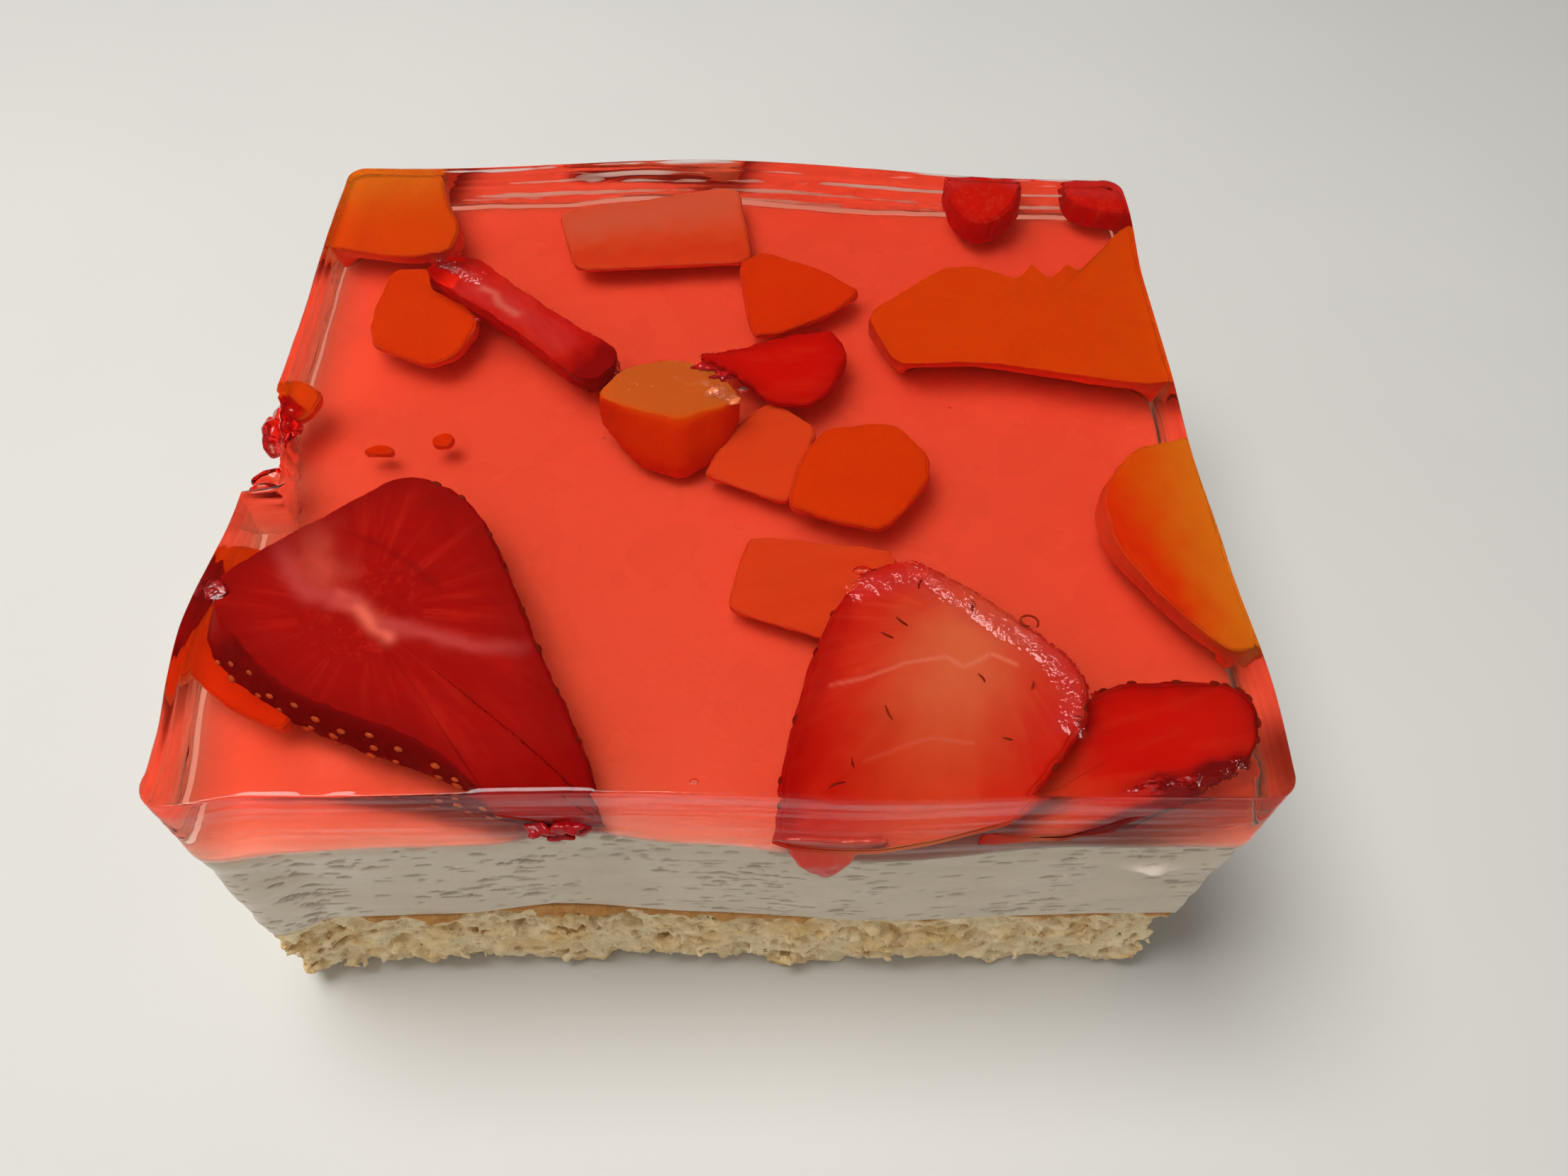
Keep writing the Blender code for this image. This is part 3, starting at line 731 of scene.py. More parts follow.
def makeSponge(material):
    rough = bpy.data.objects.new("crumb", bpy.data.meshes.new("crumb"))
    scene.collection.objects.link(rough)
    rough.modifiers.new("crumb", "NODES").node_group = crumbGroup()
    graph = bpy.context.evaluated_depsgraph_get()
    mesh = bpy.data.meshes.new_from_object(rough.evaluated_get(graph))
    bpy.data.objects.remove(rough)
    bm = bmesh.new()
    bm.from_mesh(mesh)
    dropScraps(bm)
    bmesh.ops.triangulate(bm, faces=bm.faces)
    bm.to_mesh(mesh)
    bm.free()
    spots = np.empty(len(mesh.vertices) * 3, np.float32)
    mesh.vertices.foreach_get("co", spots)
    spots = spots.reshape(-1, 3).astype(float)
    x, y, z = spots[:, 0], spots[:, 1], spots[:, 2]
    top = cake["spongeTop"]
    gaps = {"front": y - front, "back": back - y, "left": x - left, "right": right - x}
    pull = {side: np.clip(1 - gap / sponge["knifePull"], 0, 1) for side, gap in gaps.items()}
    inset = np.minimum.reduce(list(gaps.values()))
    high = lineHeight(top, cake["spongeLine"], x, y, inset)
    for side, (axis, sign) in {"front": (1, -1), "back": (1, 1), "left": (0, -1), "right": (0, 1)}.items():
        along = x if axis == 1 else y
        spots[:, axis] += sign * knifeReach(side, along) * pull[side]
    spots[:, 0] -= sponge["rightLean"] * pull["right"]
    reach, below, over = sponge["skinOver"]
    spots[:, 1] -= reach * pull["front"] * np.clip((z - top + below) / over, 0, 1)
    spots[:, 2] = np.maximum(0.0, z * high / top)
    mesh.vertices.foreach_set("co", ((spots + place) * mm).ravel())
    browned, waves = sponge["brown"]
    thick = browned + ripples(np.column_stack([x, y, z * 0.3]), waves)
    skin = np.clip((z - (top - thick)) / 0.5 + 0.5, 0, 1)
    # painted shade: depth rises from 2.2 mm in from the sides, so the crumb deep in the pores is painted
    # darker
    for name, values in {"skin": skin, "depth": np.clip((inset - 2.2) / 2.5, 0, 1)}.items():
        mesh.attributes.new(name, "FLOAT", "POINT").data.foreach_set("value", values.astype(np.float32))
    mesh.shade_smooth()
    mesh.materials.clear()
    mesh.materials.append(material)
    mesh.name = "sponge_crumb"
    piece = bpy.data.objects.new("sponge_crumb", mesh)
    scene.collection.objects.link(piece)
    settle(piece, "sponge_base")
    print("sponge", len(mesh.polygons), "triangles")


# fruit

# outline in plan, height and slopes of top and base, corner cutting and roundness of the edges: the solids
# have nearly the same
# face: the outline of the top where it isn't the outline of the foot; lumps: uneven top, in millimetres
# hem: a slice that bends down to the front cut, from which y, and how high it lies along the cut
fruit = {
    "peach_back_left": {
        "outline": ((-55, 50), (-39.5, 50), (-37, 40), (-34.5, 35), (-35, 29.5), (-41, 28), (-55, 31)),
        "top": (44.6, 0.0, 0.02), "cut": 0.16, "edge": 1.0,
        "strokes": {"pale": ((((-51, 44), (-42, 46)), 6.0, 0.9),)}},
    "peach_back_right": {
        "outline": ((15.5, 20), (25.5, 28.5), (30, 29), (35, 26.5), (37, 29.5), (39, 26.5), (41.5, 29.5),
                    (43, 28), (50, 37), (56, 37), (56, 9.5), (47, 7.5), (29, 11.5), (18.5, 11)),
        "top": (44.4, 0.03, 0.0), "cut": 0.12, "edge": 0.4},
    "peach_right": {
        "outline": ((39, -8), (43.5, -2), (48, -0.8), (56, -1), (56, -24), (48.5, -30.5), (43, -23.5),
                    (39, -16)),
        "top": (45.4, 0.05, 0.0), "cut": 0.18, "edge": 1.2,
        "strokes": {"pale": ((((50.0, -2), (49.5, -12), (50, -26)), 5.0, 0.8),),
                    "dark": ((((39, -8), (41, -15), (44.5, -24)), 2.6, 0.9),)}},
    "peach_centre": {
        "outline": ((-15.5, 4), (-12.5, 8.5), (-7, 10), (-2, 8.5), (1, 4), (-1, -1), (-5.5, -4.5),
                    (-11, -2.5)),
        "top": (46.7, 0.0, 0.02), "base": (38.6, 0.0, 0.0), "cut": 0.14, "edge": 0.6, "lean": 4.2,
        "under": (0, 0, 0), "thin": 0.0,
        "strokes": {"haze": ((((-12, 7.5), (-7, 7.5), (-2, 7)), 4.2, 1.3),)}},
    "berry_back": {
        "outline": ((27.5, 50), (27.5, 39.5), (31, 35.5), (35.5, 38), (38, 43), (38, 50)),
        "top": (45.6, 0.0, 0.0), "base": (38.2, 0.0, 0.0), "cut": 0.24, "edge": 1.6, "kind": "strawberry",
        "under": (0, 0, 0), "strokes": {"haze": ((((28, 44), (33, 46), (38, 44)), 0.9, 0.5),)}},
    "berry_corner": {
        "outline": ((44, 51), (43.2, 42), (47, 39.5), (56, 40), (56, 51)),
        "top": (44.8, 0.0, 0.0), "base": (38.2, 0.0, 0.0), "edge": 1.4, "kind": "strawberry",
        "under": (0, 0, 0), "strokes": {"haze": ((((44, 44), (52, 43)), 0.9, 0.5),)}},
    "strawberry_stick": {
        "outline": ((-37.6, 23.6), (-35.6, 26.6), (-32, 27.4), (-29.6, 25.6), (-21, 18), (-13.4, 12.8),
                    (-13.2, 10.2), (-14.8, 7.6), (-17.6, 7.0), (-26.5, 15.4), (-31.5, 19)),
        "top": (46.2, -0.08, 0.04), "base": (38.6, -0.04, 0.02), "edge": 0.5, "kind": "strawberry",
        "under": (0.0, -1.0, 2.0), "fine": 0.35, "lumps": 0.35, "rays": (-60.0, 48.0), "rimDark": 0.1,
        "strokes": {"haze": ((((-30.5, 21.5), (-26, 18.2), (-20, 13.2)), 2.0, 0.5),),
                    "vein": ((((-30, 21.4), (-28.4, 20.6), (-27.5, 18.6), (-25.5, 17.2)), 0.5, 0.35),),
                    "dark": ((((-38, 23.0), (-34.0, 27.5)), 2.8, 1.5), (((-12, 13), (-16, 7)), 3.4, 1.8))}},
    "strawberry_front_left": {
        "outline": ((-38.5, -9.8), (-34.8, -6.8), (-30, -8), (-25.5, -12), (-22.5, -18.5), (-19, -26.5),
                    (-14.5, -35.5), (-11.2, -43), (-12, -45), (-16, -44.6), (-22, -42.5), (-30, -39.6),
                    (-37.5, -36.8), (-45.5, -32.8), (-51, -28), (-53, -22), (-50, -17.5), (-43, -13.5)),
        "face": ((-38.5, -9.8), (-34.8, -6.8), (-30, -8), (-25.5, -12), (-22.5, -18.5), (-19, -26.5),
                 (-14.5, -35.5), (-11.2, -43), (-11, -50), (-16, -50), (-21.5, -43.5), (-27.5, -38.6),
                 (-36, -35.6), (-42, -32.8), (-47, -28), (-50.8, -22), (-48.5, -18), (-43, -13.5)),
        "hem": (-37, ((-27, 45.5), (-24, 44.8), (-20, 42.6), (-15, 40.8), (-11, 40.3))),
        "top": (44.6, 0.01, 0.03), "base": (39.2, 0.03, 0.0), "cut": 0.25, "kind": "strawberry",
        "under": (0, 0, 0), "skinSide": (-0.6, -0.8, 0.15), "core": (-35.5, -24.4),
        "fine": 0.45, "rimDark": 0.75,
        "seeds": ((0.76, 3.1, 0.0, (-0.7, -0.7), True), (0.42, 3.3, 1.7, (-0.7, -0.7), True),
                  (0.12, 3.2, 0.6, (-0.7, -0.7), True), (0.93, 5.0, 1.0, (0.9, 0.4), False)),
        "strokes": {
            "haze": ((((-46.0, -15.0), (-44.4, -18.0), (-42.2, -21.3), (-39.7, -22.6), (-36.9, -23.2)), 1.1,
                      0.85),
                     (((-33.0, -26.0), (-29.0, -26.9), (-24.9, -28.2), (-19.4, -28.6)), 0.8, 0.85)),
            "pale": ((((-38.0, -22.7), (-35.5, -24.4), (-32.5, -27.3)), 0.8, 1.0),
                     (((-42.2, -14.5), (-41.5, -18.0), (-39.5, -20.2)), 2.0, 0.35)),
            "dark": ((((-38, -8), (-33, -8), (-27.5, -11), (-23.5, -16), (-21, -24), (-17.5, -31),
                       (-14, -37)),
                      2.6, 0.7),
                     (((-38.7, -14.8), (-34.8, -16.7), (-31.0, -19.4), (-28.5, -21.7)), 0.35, 0.6))}},
    "strawberry_front_right": {
        "outline": ((16.5, -17.5), (22.5, -20.5), (28, -26), (33.5, -31), (33, -37.5), (25, -46), (12, -54),
                    (3.5, -50), (4.5, -40), (8, -28), (11, -21.5)),
        "top": (45.9, 0.085, 0.02), "base": (40.6, 0.2, 0.02), "cut": 0.25, "edge": 1.2, "kind": "strawberry",
        "core": (20.0, -35.0), "fine": 0.35, "under": (0, 0, 0), "rays": (24.0, -26.0),
        "hem": (-32, ((3, 38.5), (6, 37.2), (9, 36.8), (14, 37), (19, 38.8), (24.7, 42), (30, 44.6))),
        "seeds": ((0.85, 6.0, 1.0, (-1.0, 0.0), False), (0.8, 6.5, 3.0, (0.7, -0.7), False)),
        "strokes": {
            "pale": ((((22.0, -28.5), (20.0, -34.0), (17.5, -42.0), (16.0, -46.0)), 6.5, 1.0),),
            "haze": ((((13.5, -21.5), (18.5, -20.8), (23.6, -25.2), (29.0, -29.2), (31.4, -32.5),
                       (31.0, -37.0)),
                      1.4, 0.42),),
            "vein": ((((9.4, -32.7), (13.0, -32.0), (16.4, -30.6), (20.4, -30.0), (21.9, -31.2),
                       (24.7, -29.8), (26.9, -31.1)), 0.18, 0.4),
                     (((12.3, -39.5), (15.2, -38.6), (18.4, -37.8), (22.1, -38.6)), 0.18, 0.25)),
            "dark": ((((11, -23), (9, -29), (6.5, -36), (5, -43)), 1.6, 0.45),)}},
    "strawberry_right": {
        "outline": ((30, -34), (36.5, -31.2), (42, -31.6), (46.8, -32), (49.4, -34.6), (48.8, -38.8),
                    (46.5, -42.4), (41, -44), (35, -45.5), (30, -52), (22, -50), (25, -39)),
        "top": (43.4, 0.26, 0.0), "base": (40.4, 0.26, 0.0), "cut": 0.25, "edge": 1.5, "kind": "strawberry",
        "under": (0.4, -0.9, 2.5), "skinSide": (0.4, -0.9, 0.3), "rays": (14.0, -42.0), "rimDark": 0.3,
        "hem": (-37, ((22, 41), (26, 39), (31, 39), (34, 41), (36.5, 43.6), (40, 46))),
        "seeds": ((0.9, 3.2, 0.0, (0.2, 1.0), False), (0.9, 2.6, 1.0, (1.0, -0.1), False)),
        "strokes": {"pale": ((((28.5, -41.0), (30.5, -45.5)), 3.6, 1.0),),
                    "skin": ((((31.5, -46.0), (34.5, -44.6), (38.7, -43.6), (42.0, -43.0), (45.6, -41.6)),
                              1.3, 1.4),),
                    "dark": ((((36, -31.5), (47, -32.5), (49, -38)), 1.2, 0.7),)}},
    # wholly sunk in the jelly
    "peach_sunk_left": {
        "outline": ((-42.5, 28), (-43.5, 18.4), (-42.5, 14), (-35.4, 10.5), (-31.8, 12.7), (-30, 18.7),
                    (-36.8, 28)),
        "top": (42.6, 0.0, 0.02), "base": (39.4, 0.0, 0.0), "cut": 0.15, "edge": 0.9},
    "peach_sunk_bit": {
        "outline": ((-52, 6.8), (-48.9, 8.2), (-45.5, 5.7), (-46.5, 1.6), (-49.1, 1.0), (-52, 3)),
        "top": (43.4, 0.0, 0.0), "base": (41.2, 0.0, 0.0), "edge": 0.8},
    "peach_sunk_crumb_a": {
        "outline": ((-41, -1.2), (-39.3, 0.2), (-37.2, -0.6), (-37.2, -1.7), (-39.5, -2.1)),
        "top": (40.4, 0.0, 0.0), "base": (38.6, 0.0, 0.0), "cut": 0.25, "edge": 0.5},
    "peach_sunk_crumb_b": {
        "outline": ((-33.8, 0.6), (-32.2, 1.8), (-30.8, 1.2), (-31.0, -0.6), (-33.0, -0.8)),
        "top": (40.6, 0.0, 0.0), "base": (38.6, 0.0, 0.0), "cut": 0.25, "edge": 0.5},
    "peach_sunk_middle": {
        "outline": ((0.2, 31), (3.6, 33), (11, 29.6), (15.8, 25.6), (12, 21.4), (5.9, 17.8), (1.8, 17.2)),
        "top": (41.6, 0.0, 0.02), "base": (39.0, 0.0, 0.0), "cut": 0.12, "edge": 0.7},
    "peach_sunk_front": {
        "outline": ((5.5, -9.6), (7.1, -2.6), (10.1, 2), (18.1, 3), (21.7, -1.8), (21.6, -6), (16.2, -13.2),
                    (10.5, -11.8)),
        "top": (42.6, 0.0, 0.02), "base": (39.4, 0.0, 0.0), "cut": 0.16, "edge": 0.9},
    "peach_sunk_corner": {
        "outline": ((-51.5, -14.5), (-47.0, -15), (-42, -22), (-39.6, -37.4), (-47.5, -33.8), (-52.5, -29),
                    (-53, -22)),
        "top": (41.0, 0.0, 0.0), "base": (38.6, 0.0, 0.0), "edge": 0.9,
        "strokes": {"dark": ((((-50, -28), (-44, -33)), 5.0, 0.5),)}},
    "strawberry_sunk": {
        "outline": ((-5.2, 13.2), (-0.7, 14.2), (6.8, 17.1), (11.8, 18.1), (13.8, 13.5), (11.4, 7.3),
                    (8.4, 4.8), (3.9, 5.1), (0.8, 8.8)),
        "rays": (-30.0, 10.0), "rimDark": 0.3,
        "top": (42.8, 0.0, 0.02), "base": (39.4, 0.0, 0.0), "edge": 1.0, "kind": "strawberry"},
    "pear_sunk_back": {
        "outline": ((-23.4, 40.5), (0.3, 46.5), (2.3, 30.8), (-20.2, 28.6)),
        "top": (41.6, 0.0, 0.03), "base": (39.0, 0.0, 0.0), "cut": 0.08, "kind": "pear",
        "strokes": {"pale": ((((-20, 38), (-2, 43)), 4.5, 0.9),),
                    "dark": ((((-20, 31), (0, 33)), 3.0, 0.6),)}},
    "pear_sunk_middle": {
        "outline": ((0.4, 3.8), (4.4, 7.4), (9.7, 2.8), (7.6, -3.7), (5.8, -8.6), (-3.4, -4.3), (-2.4, -1.5)),
        "top": (40.8, 0.0, 0.02), "base": (38.4, 0.0, 0.0), "cut": 0.12, "kind": "pear"},
    "pear_sunk_front": {
        "outline": ((1.8, -12.2), (18.4, -14.3), (13, -27), (-0.8, -22), (0.6, -16.1)),
        "top": (40.4, 0.0, 0.02), "cut": 0.12, "kind": "pear"},
}
# what a piece has where it doesn't say otherwise; with no "under", its front side draws in under its top
fruitUsual = {
    "kind": "peach", "base": (38.0, 0.0, 0.0), "cut": 0.2, "edge": 0.7, "lumps": 0.12, "fine": 0.7,
    "lean": 0.0, "under": None, "skinSide": (0.0, 0.0, 0.12), "rimDark": 0.0, "thin": 1.0, "seeds": (),
    "strokes": {},
}
fruit = {name: {**fruitUsual, **spec} for name, spec in fruit.items()}
fruitLumps = ((1.0, 0.35, 2.0), (0.5, 1.1, 5.0))
fruitRough = ((1.0, 0.55, 11.0), (0.5, 1.3, 5.0))
roughness = {"strawberry": 0.22, "peach": 0.12, "pear": 0.12}
hiddenSide = 0.48  # how far a side draws in under its top, as a share of its height
sideFrom = 0.35  # below this share of its height a side rounds in to its base, above it draws in to its top
fruitColumn = 0.5  # millimetres between the points of an outline
fanRadius = 12.0
clearOfCut = -0.08  # the knife cut the fruit with the jelly; a cut face stands a hair outside it


def cutCorners(points, cut, rounds):
    # a cut of 0.25 gives a smooth curve, less keeps it angular
    for _ in range(rounds):
        after = np.roll(points, -1, axis=0)
        step = (after - points) * cut
        points = np.stack([points + step, points + (after - points) * (1 - cut)], 1).reshape(-1, 2)
    return points


def spreadEvenly(points, spacing, *partners):
    # the same closed outline with evenly spaced points; partners with as many points are taken along with it
    closed = np.vstack([points, points[:1]])
    ways = np.concatenate([[0.0], np.cumsum(np.linalg.norm(np.diff(closed, axis=0), axis=1))])
    count = max(24, int(ways[-1] / spacing))
    at = np.linspace(0, ways[-1], count, endpoint=False)
    spread = []
    for outline in (points, *partners):
        closed = np.vstack([outline, outline[:1]])
        spread.append(np.stack([np.interp(at, ways, closed[:, i]) for i in (0, 1)], 1))
    return spread if partners else spread[0]


def keepInside(points):
    # brings spots back to just inside the cut sides of the jelly, with its rounded upright corners
    x, y = points[:, 0], points[:, 1]
    shift = {side: knifeReach(side, x if side in ("front", "back") else y) for side in cake["knife"]}
    broken = notchShift(np.full_like(x, left), y, np.full_like(x, cake["jellyTop"]))
    lowX = left - shift["left"] + clearOfCut + broken
    highX = right + shift["right"] - clearOfCut
    lowY = front - shift["front"] + clearOfCut
    highY = back + shift["back"] - clearOfCut
    inX, inY = np.clip(x, lowX, highX), np.clip(y, lowY, highY)
    radius = cake["corner"]
    midX, midY = np.clip(inX, lowX + radius, highX - radius), np.clip(inY, lowY + radius, highY - radius)
    away = np.hypot(inX - midX, inY - midY)
    short = np.where(away > radius, radius / np.maximum(away, 1e-6), 1.0)
    inX, inY = midX + (inX - midX) * short, midY + (inY - midY) * short
    held = (np.hypot(inX - x, inY - y) > 1e-3).astype(float)
    return np.stack([inX, inY], 1), held


def outwards(points):
    # outward direction at each point of a closed outline that may run either way
    along = np.roll(points, -1, axis=0) - np.roll(points, 1, axis=0)
    area = np.sum(points[:, 0] * np.roll(points[:, 1], -1) - np.roll(points[:, 0], -1) * points[:, 1])
    out = np.stack([along[:, 1], -along[:, 0]], 1) * np.sign(area)
    return out / np.maximum(np.linalg.norm(out, axis=1), 1e-9)[:, None]


def evenOut(values, reach):
    # moving average round a closed outline, over this many millimetres to each side
    half = max(1, int(reach / fruitColumn))
    window = np.hanning(2 * half + 3)[1:-1]
    wrapped = np.concatenate([values[-half:], values, values[:half]])
    return np.convolve(wrapped, window / window.sum(), "valid")


def strokeStrength(spots, strokes):
    # how strongly a spot takes part in soft brush strokes along given paths: path, width, strength
    total = np.zeros(spots.shape[:-1])
    wander = np.stack([ripples(spots, ((1.0, 0.45, start),)) for start in (3.0, 8.0)], -1)
    for path, width, strength in strokes:
        flat = spots[..., :2] + wander * min(1.2, width * 0.5)
        nearest = np.full(spots.shape[:-1], 1e9)
        for a, b in zip(path, path[1:]):
            a, b = np.array(a, float), np.array(b, float)
            t = np.clip(((flat - a) @ (b - a)) / ((b - a) @ (b - a)), 0, 1)
            nearest = np.minimum(nearest, np.linalg.norm(flat - a - t[..., None] * (b - a), axis=-1))
        total = np.maximum(total, strength * np.exp(-(nearest / width) ** 2))
    return total


def fruitRings(spec):
    # rings of one piece of fruit from its sunk pole to the middle of its top, and how far up its side each
    # ring lies
    points = cutCorners(np.array(spec["outline"], float), spec["cut"], 2)
    middle = points.mean(axis=0)
    points = cutCorners(np.array(spec["outline"], float), spec["cut"], 4)
    face = cutCorners(np.array(spec.get("face", spec["outline"]), float), spec["cut"], 4)
    points, face = spreadEvenly(keepInside(points)[0], fruitColumn, keepInside(face)[0])
    outs = outwards(points)
    heldLow = keepInside(points + outs * 0.4)[1]
    held = np.maximum(heldLow, keepInside(face + outs * 0.4)[1])
    edge = spec["edge"]
    tall = spec["top"][0] - spec["base"][0]
    inwards = np.stack([evenOut(outs[:, i], 1.0 + edge) for i in (0, 1)], 1)
    free = evenOut(1 - held, 0.6 + edge)
    centre = np.array(spec.get("core", points.mean(axis=0)))
    freeLow = evenOut(1 - heldLow, 0.6 + edge)
    under = spec["under"] or (0.0, -1.0, hiddenSide * tall)
    tuck = evenOut(np.maximum(0.0, outs @ np.array(under[:2])) * free, 4.0) * under[2]
    skinSide = spec["skinSide"]
    facing = np.clip((outs @ np.array(skinSide[:2]) - 0.1) / 0.3, 0, 1)
    skinned = evenOut(skinSide[2] + (1 - skinSide[2]) * facing, 2.0) * freeLow
    span = np.linalg.norm(points - centre, axis=1).max()
    rim = min(0.4, edge * 0.35)
    brow = 0.5 * edge  # how far the side has drawn in where it meets the top
    # share of the way out, inset, share of the height, drop
    plan = [(f, edge, 0.0, 0.0) for f in (0.0, 0.4, 0.75, 0.92)]
    plan += [(1.0, edge * (1 - share / sideFrom) ** 2, share, 0.0) for share in (0.0, 0.05, 0.12, 0.2, 0.28)]
    plan += [(1.0, brow * ((share - sideFrom) / (1 - sideFrom)) ** 3, share, 0.0)
             for share in np.linspace(sideFrom, 0.97, 9)]
    plan += [(1.0, brow + rim * (1 - math.cos(a)), 1.0, -rim * (1 - math.sin(a)))
             for a in np.linspace(0.2, 1.57, 5)]
    plan += [(f, brow + rim, 1.0, 0.0) for f in np.linspace(1, 0, max(6, int(span / spec["fine"])))[1:]]
    rings, skins = [], []
    for f, inset, share, extra in plan:
        flat = points + (face - points) * share ** 1.5
        flat = flat - inwards * (inset * free + tuck * (1 - share))[:, None]
        flat = centre + (flat - centre) * f
        flat[:, 1] += spec["lean"] * share * bump(flat[:, 1], -4.0, 9.0)
        off = flat - middle
        low = spec["base"][0] + off @ np.array(spec["base"][1:])
        high = spec["top"][0] + off @ np.array(spec["top"][1:])
        if "hem" in spec:
            start, line = spec["hem"]
            bend = np.clip((start - flat[:, 1]) / (start - front), 0, 1) ** 1.7
            high = high + np.minimum(0.0, np.interp(flat[:, 0], *zip(*line)) - high) * bend
            low = np.minimum(low, high - 1.0)
        z = low + (high - low) * share + extra
        rings.append(np.column_stack([flat, z]))
        onCut = (1 - free) * min(1.0, max(0.0, share - 0.5) / 0.2)
        skins.append(skinned * (0.0 if share == 1.0 and extra > -rim * 0.6 else 1.0) * (1 - onCut))
    rings = np.array(rings)
    skins = np.array(skins)
    topRows = np.array([share == 1.0 and extra > -rim * 0.6 for f, inset, share, extra in plan])
    rings[..., 2] += topRows[:, None] * spec["lumps"] * ripples(rings, fruitLumps)
    shares = np.array([share if f == 1.0 else -1.0 for f, inset, share, extra in plan])
    outShare = np.array([f for f, inset, share, extra in plan])
    return rings, skins, centre, outs, (free, freeLow), shares, outShare


def gatherSeeds(spec, rings, outs, free, shares, husks):
    # seeds sit in rows on the skin: share of the height, spacing, where they start, which way that side faces
    for share, spacing, start, facing, pale in spec["seeds"]:
        row = int(np.argmin(np.abs(shares - share)))
        step = spacing / fruitColumn
        for i in range(int(rings.shape[1] / step)):
            column = int((i + seedRandom.uniform(-0.2, 0.2)) * step + start / fruitColumn) % rings.shape[1]
            if free[int(share < 0.7)][column] < 0.9 or outs[column] @ np.array(facing) < 0.2:
                continue
            spot = rings[row + seedRandom.choice((-1, 0, 0, 1)), column]
            husks.append((spot, outs[column], seedRandom.uniform(0.75, 1.15), pale))


def makeFruit(materials, husks):
    for name, spec in fruit.items():
        rings, skins, centre, outs, free, shares, outShare = fruitRings(spec)
        rough = roughness[spec["kind"]] * ripples(rings, fruitRough) * free[0] ** 4 * (shares >= 0)[:, None]
        rings[..., :2] += outs * rough[..., None]
        away = rings[..., :2] - np.array(spec.get("rays", centre))
        radius = np.maximum(np.linalg.norm(away, axis=-1), fanRadius / 2)
        fan = np.concatenate([away / radius[..., None] * fanRadius, radius[..., None] * 0.12], -1)
        if spec["kind"] == "pear":  # its fibres run straight
            fan = rings * (0.12, 1.0, 0.4) + rings[..., :1] * (0.0, -0.25, 0.0)
        paints = {"fan": fan, "skin": skins if spec["kind"] == "strawberry" else skins * 0}
        strokes = spec["strokes"]
        if "skin" in strokes:
            paints["skin"] = np.clip(np.maximum(paints["skin"], strokeStrength(rings, strokes["skin"])), 0, 1)
        rimShade = np.clip((outShare - 0.6) / 0.4, 0, 1) ** 1.5
        for paint in ("pale", "dark", "haze", "vein"):
            laid = np.clip(strokeStrength(rings, strokes.get(paint, ())), 0, 1)
            paints[paint] = laid * (1 - 0.7 * paints["skin"])
        if name == "peach_centre":  # its side keeps the colour of the rest
            side = (shares[:, None] >= 0) & (shares[:, None] < 1)
            paints["haze"] = np.where(shares[:, None] < 0, paints["haze"] * 0 + 1, paints["haze"]) * ~side
            paints["dark"] = 0.6 * np.clip((rings[..., 2] - 42.0) / 2.5, 0, 1) * side
        paints["dark"] = np.maximum(paints["dark"], spec["rimDark"] * rimShade[:, None])
        # painted light: peach and pear sides are painted lighter towards their foot, against the shade that
        # falls on them
        if spec["kind"] != "strawberry":
            thin = np.clip((1 - shares) * 1.6, 0, 1) * (shares >= 0)
            paints["thin"] = np.repeat(thin[:, None], rings.shape[1], axis=1) * spec["thin"]
        gatherSeeds(spec, rings, outs, free, shares, husks)
        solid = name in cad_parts
        piece = closedSkin(name + "_flesh" if solid else name, rings, materials[name], paints)
        settle(piece, name if solid else None)
    print("fruit", len(fruit), "pieces")


# the torn tip that hangs from the front right slice

tip = {
    # outline in x and z: the upper part lies on the slice's cut face, the lower end hangs over the cheese
    "outline": ((4.6, 38.4), (10.0, 38.0), (15.8, 38.8), (12.8, 36.6), (11.2, 33.6), (9.6, 30.8), (7.2, 32.2),
                (5.4, 35.6)),
    "thick": 1.0,
    "hangBelow": 36.6,
    "hangOut": 0.75,
    "spacing": 0.35,
    "round": 0.5,  # its rim is rounded over this much
    "edgeWaves": ((0.25, 0.9, 4.0),),
    "faceWaves": ((0.18, 0.7, 2.0),),
    "pale": ((((18.0, 46.0), (14.0, 40.0), (12.0, 38.0)), 4.0, 0.5),),
    "dark": ((((6.5, 32.0), (9.5, 30.5), (13.5, 34.0), (19.0, 38.2), (24.0, 42.0)), 1.0, 0.8),),
}


